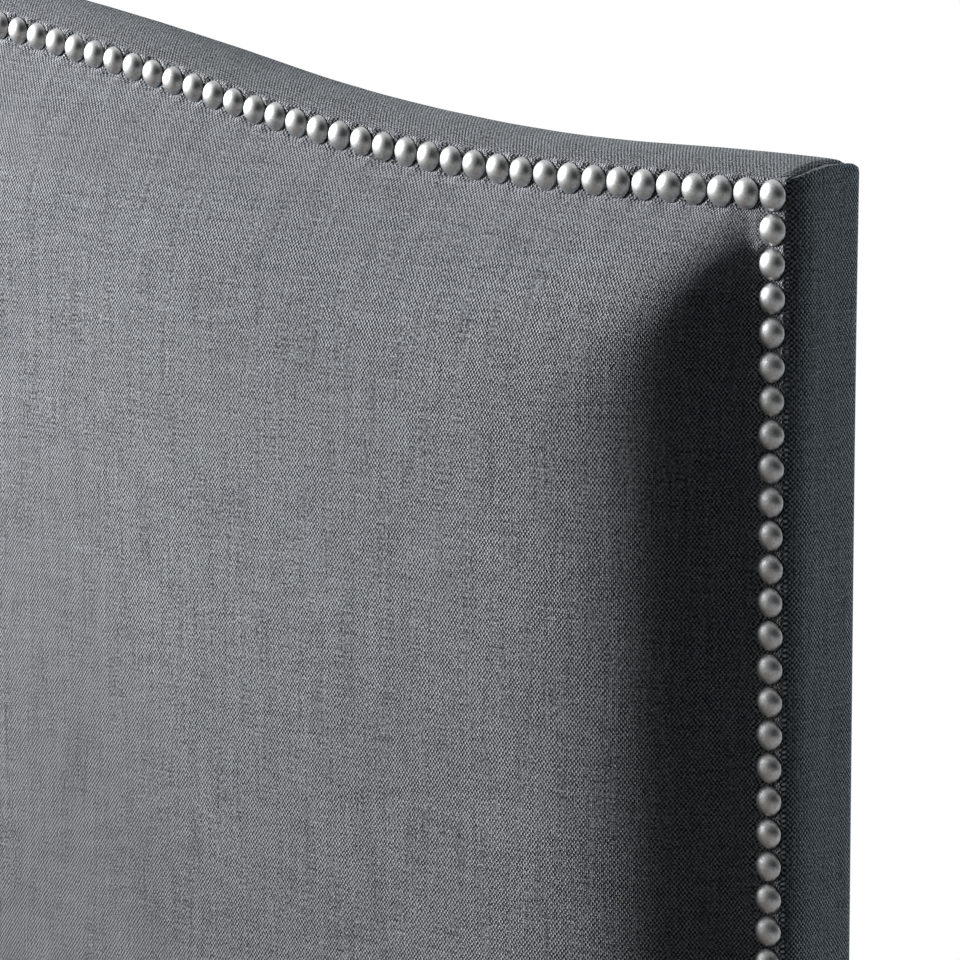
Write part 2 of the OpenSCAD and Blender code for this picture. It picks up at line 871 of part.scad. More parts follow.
module wood_screw() {
    translate([0, 0, -screw_head_h])
        cylinder(r1 = screw_d * 0.7, r2 = screw_d, h = screw_head_h);
    translate([0, 0, -screw_head_h / 2])
        cylinder(d = screw_d, h = screw_l + screw_head_h / 2);
}
module bracket_screws() {
    color(zinc)
        for (side = [0, 1], end = bracket_screw_ys, pair = [-1, 1]) {
            mirror([side, 0, 0])
                translate([board_x - bracket_t, end, bracket_mid_z + pair * bracket_pitch / 2])
                    rotate([0, 90, 0])
                        wood_screw();
        }
}

// Footboard
foot_core_h = footboard_top - floor_gap - 2 * soft_skin;
foot_core_y = foot_inner_y - soft_skin;
foot_core_half_w = half_w - soft_skin;
foot_core_mid_y = foot_core_y - foot_core_t / 2;
leg_x = half_w - leg_inset;
leg_top_z = floor_gap;

// Lays a section out along the footboard, its inner face towards the mattress
module along_footboard(half_l) {
    translate([-half_l, foot_core_y, board_z])
        rotate([90, 0, 90])
            linear_extrude(height = 2 * half_l)
                mirror([1, 0])
                    children();
}
module foot_section(grow) {
    padded_section(foot_core_t, foot_core_h, foot_pad_edge, foot_pad_crown, grow);
}
module hanger_bolt_bores(r) {
    for (side = [-1, 1]) {
        bar_z(
            leg_top_z - hanger_bolt_l / 2 - fit_clear,
            leg_top_z + hanger_bolt_l / 2 + fit_clear,
            side * leg_x,
            foot_core_mid_y,
            r
        );
    }
}

module footboard_core() {
    color(pine)
        difference() {
            along_footboard(foot_core_half_w)
                square([foot_core_t, foot_core_h]);
            frame_bolt_bores(bolt_d / 2 + fit_clear);
            hanger_bolt_bores(bolt_d / 2 + fit_clear);
        }
}

module footboard_foam() {
    color(foam_white)
        along_footboard(foot_core_half_w)
            difference() {
                foot_section(0);
                translate([-over, -over])
                    square([foot_core_t + over, foot_core_h + 2 * over]);
            }
}

module footboard_cover() {
    color(linen)
        difference() {
            along_footboard(half_w)
                foot_section(soft_skin);
            along_footboard(half_w - cloth_t)
                foot_section(soft_gap);
            frame_bolt_bores(bolt_d / 2 + fit_clear);
            hanger_bolt_bores(bolt_d / 2 + fit_clear);
        }
}

// A square leg that tapers on all four sides
module tapered_leg(side) {
    leg_h = leg_top_z - glide_h;
    taper = [
        [-leg_bottom_w / 2, 0],
        [leg_bottom_w / 2, 0],
        [leg_top_w / 2, leg_h],
        [-leg_top_w / 2, leg_h]
    ];
    color(dark_wood)
        difference() {
            translate([side * leg_x, foot_core_mid_y, glide_h])
                intersection() {
                    translate([0, leg_top_w / 2, 0])
                        rotate([90, 0, 0])
                            linear_extrude(height = leg_top_w)
                                polygon(taper);
                    translate([-leg_top_w / 2, 0, 0])
                        rotate([90, 0, 90])
                            linear_extrude(height = leg_top_w)
                                polygon(taper);
                }
            hanger_bolt_bores(bolt_d / 2 + fit_clear);
        }
}
module foot_leg_left() { tapered_leg(-1); }
module foot_leg_right() { tapered_leg(1); }

module leg_hanger_bolts() {
    color(zinc)
        for (side = [-1, 1]) {
            bar_z(
                leg_top_z - hanger_bolt_l / 2,
                leg_top_z + hanger_bolt_l / 2,
                side * leg_x,
                foot_core_mid_y,
                bolt_d / 2
            );
        }
}

// Glides under the posts and legs, each a rounded disc driven in with its own nail
glide_places = [
    [post_inner_x + post_w / 2, frame_mid_y],
    [-post_inner_x - post_w / 2, frame_mid_y],
    [leg_x, foot_core_mid_y],
    [-leg_x, foot_core_mid_y]
];
module floor_glides() {
    color(nylon)
        for (place = glide_places) {
            translate([place[0], place[1], 0])
                union() {
                    cylinder(d1 = glide_d - glide_h, d2 = glide_d, h = glide_h / 2);
                    translate([0, 0, glide_h / 2])
                        cylinder(d = glide_d, h = glide_h / 2);
                    translate([0, 0, glide_h / 2])
                        cylinder(r = nail_shank_d, h = glide_h / 2 + nail_shank_l);
                }
        }
}

// Slats, from the head end to the foot end
slat_half_l = recess_half_w - slat_end_gap;
slat_head_y = crown_y - mattress_gap - slat_w / 2;
slat_foot_y = foot_inner_y + mattress_gap + slat_w / 2;
slat_step = (slat_head_y - slat_foot_y) / (slat_count - 1);
function slat_name(i) = str("slat_", i < 10 ? "0" : "", i);

module slat_section() {
    translate([0, slat_edge_r])
        square([slat_w, slat_t - 2 * slat_edge_r]);
    translate([slat_edge_r, 0])
        square([slat_w - 2 * slat_edge_r, slat_t]);
    for (u = [slat_edge_r, slat_w - slat_edge_r]) {
        for (v = [slat_edge_r, slat_t - slat_edge_r]) {
            translate([u, v])
                circle(r = slat_edge_r);
        }
    }
}
module slat(i) {
    color(pine)
        translate([-slat_half_l, slat_head_y - (i - 1) * slat_step, deck_z])
            rotate([90, 0, 90])
                linear_extrude(height = 2 * slat_half_l)
                    translate([-slat_w / 2, 0])
                        slat_section();
}

// Webbing under the slats on both sides, which keeps them evenly spaced
strap_x_share = 0.66;
module slat_straps() {
    color(webbing)
        for (side = [-1, 1]) {
            strap_x = side * strap_x_share * slat_half_l;
            board(
                [strap_x - strap_w / 2, slat_foot_y - slat_w / 4, deck_z - strap_t],
                [strap_x + strap_w / 2, slat_head_y + slat_w / 4, deck_z]
            );
        }
}

// Centre beam and its hangers
beam_end_gap = hanger_t + beam_clear;
module centre_beam() {
    color(pine)
        board(
            [-beam_w / 2, foot_inner_y + beam_end_gap, deck_z - beam_h],
            [beam_w / 2, face_y - beam_end_gap, deck_z]
        );
}
hanger_inner_x = beam_w / 2 + beam_clear;
hanger_base_z = deck_z - beam_h;
module beam_hanger(end_y, inward) {
    board(
        [-hanger_plate_half_w, min(end_y, end_y + inward * hanger_t), hanger_base_z - hanger_t],
        [hanger_plate_half_w, max(end_y, end_y + inward * hanger_t), hanger_base_z + hanger_h]
    );
    board(
        [-hanger_inner_x - hanger_t, min(end_y, end_y + inward * hanger_hold), hanger_base_z - hanger_t],
        [hanger_inner_x + hanger_t, max(end_y, end_y + inward * hanger_hold), hanger_base_z]
    );
    for (side = [-1, 1]) {
        board(
            [
                side * (hanger_inner_x + hanger_t / 2) - hanger_t / 2,
                min(end_y, end_y + inward * hanger_hold),
                hanger_base_z - hanger_t
            ],
            [
                side * (hanger_inner_x + hanger_t / 2) + hanger_t / 2,
                max(end_y, end_y + inward * hanger_hold),
                hanger_base_z + hanger_h
            ]
        );
    }
}
module beam_hangers() {
    color(black_steel)
        difference() {
            union() {
                beam_hanger(face_y, -1);
                beam_hanger(foot_inner_y, 1);
            }
            frame_bolt_bores(bolt_d / 2 + fit_clear);
        }
}

// Centre legs: a forked post that holds the beam, with a threaded insert for its levelling foot
centre_leg_share = [0.35, 0.68];
centre_leg_y = [for (s = centre_leg_share) face_y + s * (foot_inner_y - face_y)];
centre_leg_w = beam_w + 2 * beam_clear + 2 * cheek_t;
stop_gap = beam_clear / 4;
hex_z = pad_h + stop_gap;
flange_z = hex_z + hex_h + stop_gap;
centre_leg_z = flange_z + flange_t;
stem_foot_r = stem_d * 0.75;
stem_foot_h = pad_h / 3;
stem_foot_z = pad_h / 4;
stem_bore_l = stem_foot_z + stem_l + stop_gap - centre_leg_z;

module at_centre_leg(i) {
    translate([0, centre_leg_y[i - 1], 0])
        children();
}
module centre_leg(i) {
    color(pine)
        at_centre_leg(i)
            difference() {
                board(
                    [-centre_leg_w / 2, -centre_leg_d / 2, centre_leg_z],
                    [centre_leg_w / 2, centre_leg_d / 2, deck_z - beam_h + cheek_h]
                );
                board(
                    [-beam_w / 2 - beam_clear, -centre_leg_d / 2 - over, deck_z - beam_h],
                    [beam_w / 2 + beam_clear, centre_leg_d / 2 + over, deck_z]
                );
                translate([0, 0, centre_leg_z - over])
                    cylinder(d = insert_d + 2 * fit_clear, h = over + insert_l + fit_clear);
                translate([0, 0, centre_leg_z - over])
                    cylinder(d = stem_d + 2 * stop_gap, h = over + stem_bore_l);
            }
}
module centre_leg_1() { centre_leg(1); }
module centre_leg_2() { centre_leg(2); }

module leveller_inserts() {
    color(zinc)
        for (i = [1, 2]) {
            at_centre_leg(i)
                difference() {
                    union() {
                        translate([0, 0, flange_z])
                            cylinder(d = flange_d, h = flange_t);
                        translate([0, 0, flange_z])
                            cylinder(d = insert_d, h = flange_t + insert_l);
                    }
                    translate([0, 0, flange_z - over])
                        cylinder(d = stem_d + 2 * fit_clear, h = flange_t + insert_l + 2 * over);
                }
        }
}

// The pad turns freely on the foot of the stem, which is caught inside it
module leveller_pad(i) {
    pad_edge_h = pad_h / 3;
    color(nylon)
        at_centre_leg(i)
            difference() {
                union() {
                    cylinder(d = pad_d, h = pad_edge_h);
                    translate([0, 0, pad_edge_h])
                        cylinder(d1 = pad_d, d2 = pad_d / 2, h = pad_h - pad_edge_h);
                }
                translate([0, 0, stem_foot_z - stop_gap])
                    cylinder(r = stem_foot_r + stop_gap, h = stem_foot_h + 2 * stop_gap);
                translate([0, 0, stem_foot_z])
                    cylinder(d = stem_d + 2 * fit_clear, h = pad_h);
            }
}
module leveller_pad_1() { leveller_pad(1); }
module leveller_pad_2() { leveller_pad(2); }

module leveller_stem(i) {
    color(zinc)
        at_centre_leg(i)
            union() {
                translate([0, 0, stem_foot_z])
                    cylinder(r = stem_foot_r, h = stem_foot_h);
                translate([0, 0, stem_foot_z])
                    cylinder(d = stem_d, h = stem_l);
                translate([0, 0, hex_z])
                    cylinder(d = hex_d, h = hex_h, $fn = 6);
            }
}
module leveller_stem_1() { leveller_stem(1); }
module leveller_stem_2() { leveller_stem(2); }

headboard_post_left();
headboard_post_right();
camelback_rail();
headboard_mid_rail();
headboard_bottom_rail();
headboard_stile_lower();
headboard_stile_upper();
headboard_dowels();
headboard_panel();
headboard_foam();
headboard_cover();
headboard_apron();
headboard_top_band();
headboard_side_band_left();
headboard_side_band_right();
headboard_back_cover();
nail_trim_top();
nail_trim_left();
nail_trim_right();
side_rail_left();
side_rail_right();
rail_padding_left();
rail_padding_right();
rail_cover_left();
rail_cover_right();
slat_ledger_left();
slat_ledger_right();
head_brackets();
foot_brackets();
frame_bolts();
bracket_screws();
footboard_core();
footboard_foam();
footboard_cover();
foot_leg_left();
foot_leg_right();
leg_hanger_bolts();
floor_glides();
centre_beam();
beam_hangers();
centre_leg_1();
centre_leg_2();
leveller_inserts();
leveller_pad_1();
leveller_pad_2();
leveller_stem_1();
leveller_stem_2();
slat_straps();
for (i = [1:slat_count]) {
    slat(i);
}
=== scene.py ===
import bmesh
import bpy
import math
import random
from mathutils import Matrix, Vector, kdtree, noise


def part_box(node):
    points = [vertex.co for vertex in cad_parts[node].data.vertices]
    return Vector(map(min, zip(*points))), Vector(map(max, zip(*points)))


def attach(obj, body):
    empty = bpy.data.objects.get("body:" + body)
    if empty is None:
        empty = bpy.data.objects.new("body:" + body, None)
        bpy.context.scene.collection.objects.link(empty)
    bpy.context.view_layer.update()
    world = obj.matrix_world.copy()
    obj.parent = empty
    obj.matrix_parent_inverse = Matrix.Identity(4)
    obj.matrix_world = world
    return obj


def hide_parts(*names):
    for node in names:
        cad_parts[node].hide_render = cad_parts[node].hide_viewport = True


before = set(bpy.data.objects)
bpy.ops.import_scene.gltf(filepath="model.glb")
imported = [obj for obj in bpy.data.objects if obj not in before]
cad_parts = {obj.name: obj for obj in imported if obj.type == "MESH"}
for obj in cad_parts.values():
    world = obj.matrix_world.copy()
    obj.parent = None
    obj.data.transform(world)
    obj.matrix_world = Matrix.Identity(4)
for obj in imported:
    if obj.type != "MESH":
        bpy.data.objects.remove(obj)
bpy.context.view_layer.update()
scene = bpy.context.scene
mm = 0.001

# Outline and layers of the headboard, as in the part's own source, in metres
headboard = {
    "halfWidth": 0.8103,
    "shoulderHeight": 1.245,
    "camelRise": 0.072,
    "shoulderFlat": 0.090,
    "hollowShare": 0.27,
    "apronTop": 0.380,
    "floorGap": 0.110,
    "face": 1.04665,
    "coverBack": 1.04815,
    "panelFront": 1.04975,
    "panelThick": 0.009,
    "back": 1.08495,
}
halfWidth, face = headboard["halfWidth"], headboard["face"]
shoulder = headboard["shoulderHeight"]
apronTop, floorGap = headboard["apronTop"], headboard["floorGap"]
coverBack = headboard["coverBack"]
curveWidth = halfWidth - headboard["shoulderFlat"]
steepest = 2 * math.atan(headboard["camelRise"] / curveWidth)
sweepRadius = curveWidth / math.sin(steepest)
hollowRadius = headboard["hollowShare"] * sweepRadius
crestRadius = sweepRadius - hollowRadius
crestHeight = shoulder + headboard["camelRise"]


# Height of the camelback outline at x, drawn in by inset
def camelHeight(x, inset=0.0):
    x = abs(x)
    if x >= curveWidth:
        return shoulder - inset
    if x >= (crestRadius - inset) * math.sin(steepest):
        reach = hollowRadius + inset
        return shoulder + hollowRadius - math.sqrt(reach ** 2 - (curveWidth - x) ** 2)
    reach = crestRadius - inset
    return crestHeight - crestRadius + math.sqrt(reach ** 2 - x ** 2)


# Slope angle of the outline at x, positive where it climbs towards +X
def camelSlope(x):
    side = -1 if x > 0 else 1
    x = abs(x)
    if x >= curveWidth:
        return 0.0
    if x >= crestRadius * math.sin(steepest):
        return side * math.asin((curveWidth - x) / hollowRadius)
    return side * math.asin(x / crestRadius)


def smooth(t):
    t = min(max(t, 0.0), 1.0)
    return t * t * (3 - 2 * t)


def between(a, b, t):
    return a + (b - a) * t


# How far a rounded edge falls away at a distance inwards from it
def rolled(edge, radius):
    return radius - math.sqrt(max(radius ** 2 - (radius - min(edge, radius)) ** 2, 0))


# A soft wander of a value between -1 and 1, the same on each run
def wander(x, y, z=0.0):
    return noise.noise(Vector((x, y, z)))


# A node tree, with short ways to add and join its nodes
class Nodes:
    def __init__(self, tree):
        self.tree = tree

    def add(self, kind, inputs=(), **settings):
        node = self.tree.nodes.new("ShaderNode" + kind)
        for key, value in settings.items():
            setattr(node, key, value)
        for socket, value in dict(inputs).items():
            self.put(node.inputs[socket], value)
        return node

    def put(self, socket, value):
        if isinstance(value, bpy.types.NodeSocket):
            self.tree.links.new(value, socket)
        elif value is not None:
            socket.default_value = value

    def sum(self, kind, a, b=None, c=None):
        return self.add("Math", {0: a, 1: b, 2: c}, operation=kind).outputs[0]

    def times(self, a, b):
        return self.sum("MULTIPLY", a, b)

    def ramp(self, value, low, high, toLow=0.0, toHigh=1.0):
        ends = {0: value, 1: low, 2: high, 3: toLow, 4: toHigh}
        return self.add("MapRange", ends, interpolation_type="SMOOTHSTEP").outputs[0]


# The nodes of one material
class Finish(Nodes):
    def __init__(self, name, **sockets):
        self.material = bpy.data.materials.new(name)
        self.material.use_nodes = True
        super().__init__(self.material.node_tree)
        self.shader = self.tree.nodes["Principled BSDF"]
        for socket, value in sockets.items():
            self.shader.inputs[socket].default_value = value

    def wave(self, value, length):
        return self.sum("SINE", self.times(value, 2 * math.pi / length))

    def aim(self, kind, a, b=None):
        return self.add("VectorMath", {0: a, 1: b}, operation=kind).outputs[0]

    def stretched(self, place, *shares):
        return self.aim("MULTIPLY", place, shares)

    def split(self, vector):
        return self.add("SeparateXYZ", {0: vector}).outputs

    def join(self, x, y, z=0.0):
        return self.add("CombineXYZ", {0: x, 1: y, 2: z}).outputs[0]

    def place(self):
        return self.add("TexCoord").outputs["Object"]

    def threads(self):
        return self.add("Attribute", attribute_name="threads").outputs["Vector"]

    def cloud(self, place, size, detail=2.0, roughness=0.5):
        inputs = {"Vector": place, "Scale": size, "Detail": detail, "Roughness": roughness}
        return self.add("TexNoise", inputs).outputs[0]

    # A shift of places, to and fro, that follows a cloud
    def shift(self, place, size, detail, reach):
        cloud = self.add("TexNoise", {"Vector": place, "Scale": size, "Detail": detail}).outputs["Color"]
        centred = self.aim("SUBTRACT", cloud, (0.5, 0.5, 0.5))
        return self.add("VectorMath", {0: centred, "Scale": reach}, operation="SCALE").outputs[0]

    def blend(self, share, a, b, kind="MIX"):
        node = self.add("Mix", {0: share, 6: a, 7: b}, data_type="RGBA", blend_type=kind, clamp_factor=True)
        return node.outputs[2]

    def grey(self, value, blue=None):
        inputs = {0: value, 1: value, 2: value if blue is None else blue}
        return self.add("CombineColor", inputs).outputs[0]

    def tint(self, colour, value):
        return self.blend(1.0, colour, self.grey(value), "MULTIPLY")

    def worn(self, low, high):
        return self.ramp(self.add("NewGeometry").outputs["Pointiness"], low, high)

    def paint(self, socket, value):
        self.put(self.shader.inputs[socket], value)

    def done(self, colour, height, distance, strength=1.0):
        bump = self.add("Bump", {"Height": height, "Distance": distance, "Strength": strength})
        self.paint("Normal", bump.outputs[0])
        self.paint("Base Color", colour)
        return self.material


def rgb(r, g, b):
    return (r, g, b, 1.0)


# Plain-weave linen of two yarns; the threads follow the "threads" attribute, in metres
linenYarn = {
    "warpPitch": 0.78 * mm,
    "weftPitch": 0.98 * mm,
    "dark": rgb(0.011, 0.014, 0.018),
    "light": rgb(0.660, 0.690, 0.740),
    "bend": 0.35 * mm,
    "jitter": 0.18 * mm,
    "height": 0.30 * mm,
    "slubs": 0.62,
}
linenSkin = {"Roughness": 0.85, "Sheen Weight": 0.12, "Sheen Roughness": 0.4, "Specular IOR Level": 0.15}


def linenFinish(name, shade=1.0):
    f = Finish(name, **linenSkin)
    yarn = linenYarn
    threads = f.threads()
    drift = f.shift(threads, 22.0, 2.0, yarn["bend"] * 4)
    jitter = f.shift(threads, 380.0, 1.0, yarn["jitter"] * 4)
    x, y = f.split(f.aim("ADD", f.aim("ADD", threads, drift), jitter))[:2]
    across = f.sum("DIVIDE", x, yarn["warpPitch"])
    along = f.sum("DIVIDE", y, yarn["weftPitch"])
    weave = f.times(f.wave(across, 2), f.wave(along, 2))
    # Each thread has its own tone, which wanders along its length
    warpTone = f.cloud(f.join(f.times(f.sum("FLOOR", across), 7.31), f.times(along, 0.035)), 1.0, 3.0)
    weftTone = f.cloud(f.join(f.times(across, 0.045), f.times(f.sum("FLOOR", along), 5.17)), 1.0, 3.0)
    fluff = f.cloud(f.stretched(threads, 900.0, 900.0, 900.0), 1.0, 2.0, 0.6)
    firmness = f.ramp(f.cloud(f.stretched(threads, 140.0, 26.0, 1.0), 1.0, 3.0, 0.65), 0.3, 0.7, 0.3, 1.5)
    tone = f.sum("SUBTRACT", weftTone, warpTone)
    share = f.sum("MULTIPLY_ADD", tone, yarn["slubs"], f.times(weave, firmness))
    share = f.sum("MULTIPLY_ADD", f.sum("SUBTRACT", fluff, 0.5), 2.0, share)
    colour = f.blend(f.ramp(share, -0.58, 0.80), yarn["dark"], yarn["light"])
    streaks = f.ramp(f.cloud(f.stretched(threads, 420.0, 9.0, 1.0), 1.0, 3.0, 0.6), 0.25, 0.75, 0.93, 1.06)
    # A shade below 1 paints the whole cloth darker, as painted shade
    patches = f.ramp(f.cloud(threads, 7.0, 3.0), 0.3, 0.7, 0.94 * shade, 1.05 * shade)
    hump = f.sum("POWER", f.sum("ABSOLUTE", weave), 0.5)
    height = f.sum("MULTIPLY_ADD", fluff, 0.35, hump)
    return f.done(f.tint(colour, f.times(streaks, patches)), height, yarn["height"], 0.8)


# Black spun dust cloth with its small pressed dots
def dustClothFinish(name, pitch=2.4 * mm):
    f = Finish(name, **{"Roughness": 0.92, "Specular IOR Level": 0.2})
    place = f.place()
    parts = f.split(place)
    dots = f.times(f.wave(parts[0], pitch), f.wave(parts[2], pitch))
    fibres = f.cloud(place, 900.0, 3.0, 0.7)
    tone = f.sum("MULTIPLY_ADD", fibres, 0.03, f.ramp(dots, 0.2, 0.9, 0.022, 0.010))
    height = f.sum("SUBTRACT", fibres, f.ramp(dots, 0.2, 0.9))
    return f.done(f.grey(tone, f.times(tone, 1.08)), height, 0.12 * mm, 0.7)


# Twilled webbing, its ribs across the strap
def webbingFinish(name):
    f = Finish(name, **{"Roughness": 0.8, "Sheen Weight": 0.1})
    x, y = f.split(f.threads())[:2]
    ribs = f.wave(f.sum("ADD", y, f.sum("ABSOLUTE", f.sum("PINGPONG", x, 0.004))), 0.0016)
    fibres = f.cloud(f.join(x, y), 1500.0, 2.0)
    stripe = f.ramp(f.sum("ABSOLUTE", x), 0.0075, 0.0078)
    colour = f.blend(stripe, rgb(0.33, 0.31, 0.27), rgb(0.16, 0.16, 0.16))
    level = f.times(f.ramp(ribs, -1.0, 0.8, 0.55, 1.1), f.ramp(fibres, 0.2, 0.8, 0.8, 1.15))
    return f.done(f.tint(colour, level), ribs, 0.15 * mm)


# Brushed pewter of the nail heads, darker where it is pitted, with painted shade that turns it black under
# the turned rim;
# the first of the "threads" measures is here how near a point is to the rim, from 0 to 1
def pewterFinish(name):
    f = Finish(name, **{"Metallic": 1.0})
    place = f.place()
    pits = f.cloud(place, 1400.0, 4.0, 0.65)
    bloom = f.ramp(f.cloud(place, 160.0, 2.0), 0.3, 0.7, 0.9, 1.05)
    colour = f.blend(f.ramp(pits, 0.30, 0.62), rgb(0.42, 0.425, 0.43), rgb(0.60, 0.605, 0.61))
    # Painted shade: the pewter falls to near black under the turned rim, where the head shades the gap in
    # the cloth
    paintedRimShade = f.ramp(f.split(f.threads())[0], 0.3, 0.8, 1.0, 0.06)
    f.paint("Roughness", f.ramp(pits, 0.2, 0.8, 0.50, 0.44))
    return f.done(f.tint(colour, f.times(paintedRimShade, bloom)), pits, 0.02 * mm, 0.3)


# Sawn wood with its grain along one axis (0 = X, 1 = Y, 2 = Z)
def woodFinish(name, axis, early, late, roughness=0.55, coat=0.0, rings=0.011, knots=0.25):
    f = Finish(name, **{"Coat Weight": coat, "Coat Roughness": 0.25, "Specular IOR Level": 0.4})
    grainPlace = f.stretched(f.place(), *(0.055 if k == axis else 1.0 for k in range(3)))
    swirl = f.cloud(grainPlace, 14.0, 2.0)
    parts = f.split(grainPlace)
    others = [parts[k] for k in range(3) if k != axis]
    reach = f.sum("ADD", f.times(others[0], 0.35), others[1])
    bands = f.sum("FRACT", f.sum("ADD", f.sum("DIVIDE", reach, rings), f.times(swirl, 7.0)))
    lateShare = f.times(f.ramp(bands, 0.35, 0.92), f.ramp(bands, 1.0, 0.94))
    fibres = f.cloud(f.stretched(grainPlace, 900.0, 900.0, 900.0), 1.0, 3.0, 0.6)
    mottle = f.ramp(f.cloud(f.place(), 9.0, 3.0), 0.3, 0.7, 1 - knots * 0.5, 1.05)
    colour = f.blend(f.times(lateShare, 0.8), early, late)
    colour = f.tint(colour, f.times(f.ramp(fibres, 0.25, 0.75, 0.86, 1.08), mottle))
    rubbed = rgb(*(min(1.0, c * 1.6) for c in early[:3]))
    colour = f.blend(f.times(f.worn(0.52, 0.60), 0.35), colour, rubbed)
    f.paint("Roughness", f.ramp(fibres, 0.2, 0.8, roughness - 0.08, roughness + 0.1))
    return f.done(colour, f.sum("MULTIPLY_ADD", lateShare, 0.5, fibres), 0.12 * mm, 0.6)


# Plywood: veneer grain on its faces and its layers on the edges
def plywoodFinish(name, low, thickness, plies=7):
    f = Finish(name, **{"Specular IOR Level": 0.35})
    place = f.place()
    y = f.split(place)[1]
    grain = f.cloud(f.stretched(place, 14.0, 300.0, 240.0), 1.0, 3.0, 0.6)
    veneer = f.blend(f.ramp(grain, 0.3, 0.7), rgb(0.52, 0.36, 0.20), rgb(0.66, 0.49, 0.30))
    layer = f.times(f.sum("SUBTRACT", y, low), plies / thickness)
    edge = f.blend(f.ramp(f.wave(layer, 2), -0.2, 0.2), rgb(0.36, 0.23, 0.12), rgb(0.62, 0.46, 0.28))
    turned = f.sum("ABSOLUTE", f.split(f.add("TexCoord").outputs["Normal"])[1])
    f.paint("Roughness", f.ramp(grain, 0.2, 0.8, 0.6, 0.75))
    return f.done(f.blend(f.ramp(turned, 0.4, 0.6), edge, veneer), grain, 0.1 * mm, 0.5)


# Metals: powder-coated black steel and dull zinc plate
def coatedSteelFinish(name):
    f = Finish(name, **{"Specular IOR Level": 0.5})
    skin = f.cloud(f.place(), 700.0, 3.0, 0.6)
    coat = f.blend(skin, rgb(0.012, 0.012, 0.013), rgb(0.028, 0.028, 0.030))
    f.paint("Roughness", f.ramp(skin, 0.2, 0.8, 0.38, 0.52))
    return f.done(f.blend(f.worn(0.54, 0.62), coat, rgb(0.16, 0.16, 0.165)), skin, 0.08 * mm, 0.6)


def zincFinish(name):
    f = Finish(name, **{"Metallic": 1.0})
    spangle = f.add("TexVoronoi", {"Vector": f.place(), "Scale": 420.0}).outputs["Color"]
    dull = f.cloud(f.place(), 60.0, 3.0)
    shade = f.times(f.ramp(f.split(spangle)[0], 0.0, 1.0, 0.86, 1.06), f.ramp(dull, 0.3, 0.7, 0.85, 1.0))
    f.paint("Roughness", f.ramp(dull, 0.3, 0.7, 0.28, 0.45))
    return f.done(f.tint(rgb(0.56, 0.58, 0.60), shade), dull, 0.05 * mm, 0.4)


def nylonFinish(name):
    f = Finish(name, **{"Specular IOR Level": 0.4})
    grain = f.cloud(f.place(), 1100.0, 2.0, 0.6)
    scuff = f.ramp(f.cloud(f.stretched(f.place(), 60.0, 240.0, 60.0), 1.0, 3.0, 0.7), 0.55, 0.75)
    f.paint("Roughness", f.ramp(grain, 0.2, 0.8, 0.5, 0.65))
    return f.done(f.blend(scuff, rgb(0.022, 0.022, 0.023), rgb(0.060, 0.060, 0.062)), grain, 0.06 * mm, 0.5)


pineColours = (rgb(0.66, 0.47, 0.27), rgb(0.46, 0.27, 0.12))
stainColours = (rgb(0.050, 0.029, 0.018), rgb(0.022, 0.012, 0.008))
linen = linenFinish("slateLinen")
# The bands wear the same linen as the padding, painted ten percent darker as shade
paintedShadeBandLinen = linenFinish("paintedShadeBandLinen", shade=0.90)
dustCloth = dustClothFinish("blackDustCloth")
webbing = webbingFinish("twillWebbing")
pewter = pewterFinish("brushedPewter")
pineAcross = woodFinish("pineAcross", 0, *pineColours)
pineAlong = woodFinish("pineAlong", 1, *pineColours)
pineUpright = woodFinish("pineUpright", 2, *pineColours)
beechAcross = woodFinish("beechDowel", 0, rgb(0.70, 0.52, 0.34), rgb(0.58, 0.40, 0.24), rings=0.004)
darkStain = woodFinish("espressoStain", 2, *stainColours, roughness=0.42, coat=0.35, knots=0.1)
postWood = woodFinish("stainedPost", 2, *stainColours, roughness=0.5, coat=0.1, knots=0.1)
plywood = plywoodFinish("birchPly", headboard["panelFront"], headboard["panelThick"])
blackSteel = coatedSteelFinish("coatedSteel")
zinc = zincFinish("zincPlate")
nylon = nylonFinish("blackNylon")
print("finishes mixed")


# Makes an object of points and faces; threads are the cloth's own two measures at each point, and on the
# nails the first is the share of painted shade under the rim
def newPiece(name, points, faces, material, threads=None, smoothed=True):
    mesh = bpy.data.meshes.new(name)
    mesh.from_pydata([tuple(p) for p in points], [], faces)
    mesh.materials.append(material)
    if threads is not None:
        marks = mesh.attributes.new("threads", "FLOAT_VECTOR", "POINT")
        marks.data.foreach_set("vector", [c for t in threads for c in (t[0], t[1], 0.0)])
    mesh.polygons.foreach_set("use_smooth", [smoothed] * len(mesh.polygons))
    work = bmesh.new()
    work.from_mesh(mesh)
    bmesh.ops.recalc_face_normals(work, faces=work.faces[:])
    work.to_mesh(mesh)
    work.free()
    mesh.validate()
    piece = bpy.data.objects.new(name, mesh)
    scene.collection.objects.link(piece)
    return piece


# Faces of rings of points laid one after another, each ring closed or open
def loftFaces(rings, count, closed=True, start=0):
    faces = []
    last = count if closed else count - 1
    for r in range(rings - 1):
        for k in range(last):
            a, b = start + r * count + k, start + r * count + (k + 1) % count
            faces.append((a, b, b + count, a + count))
    return faces


# Closed rings laid one after another, with a face over each end
def tubeFaces(rings, count):
    total = rings * count
    return loftFaces(rings, count) + [tuple(range(count - 1, -1, -1)), tuple(range(total - count, total))]


# Faces between two closed loops of point numbers
def bridge(a, b):
    n = len(a)
    return [(a[k], a[(k + 1) % n], b[(k + 1) % n], b[k]) for k in range(n)]


# Points round the rim of a grid of columns and rows
def rimLoop(cols, rws):
    loop = [c * rws for c in range(cols)] + [(cols - 1) * rws + r for r in range(1, rws)]
    return loop + [c * rws + rws - 1 for c in range(cols - 2, -1, -1)] + list(range(rws - 2, 0, -1))


# Upholstery cloth for the swell, held along its rim
stretchedCloth = {
    "quality": 6,
    "mass": 0.35,
    "tension_stiffness": 25,
    "compression_stiffness": 25,
    "bending_stiffness": 2.0,
    "vertex_group_mass": "pins",
    "use_pressure": True,
}
settlingSteps = 20


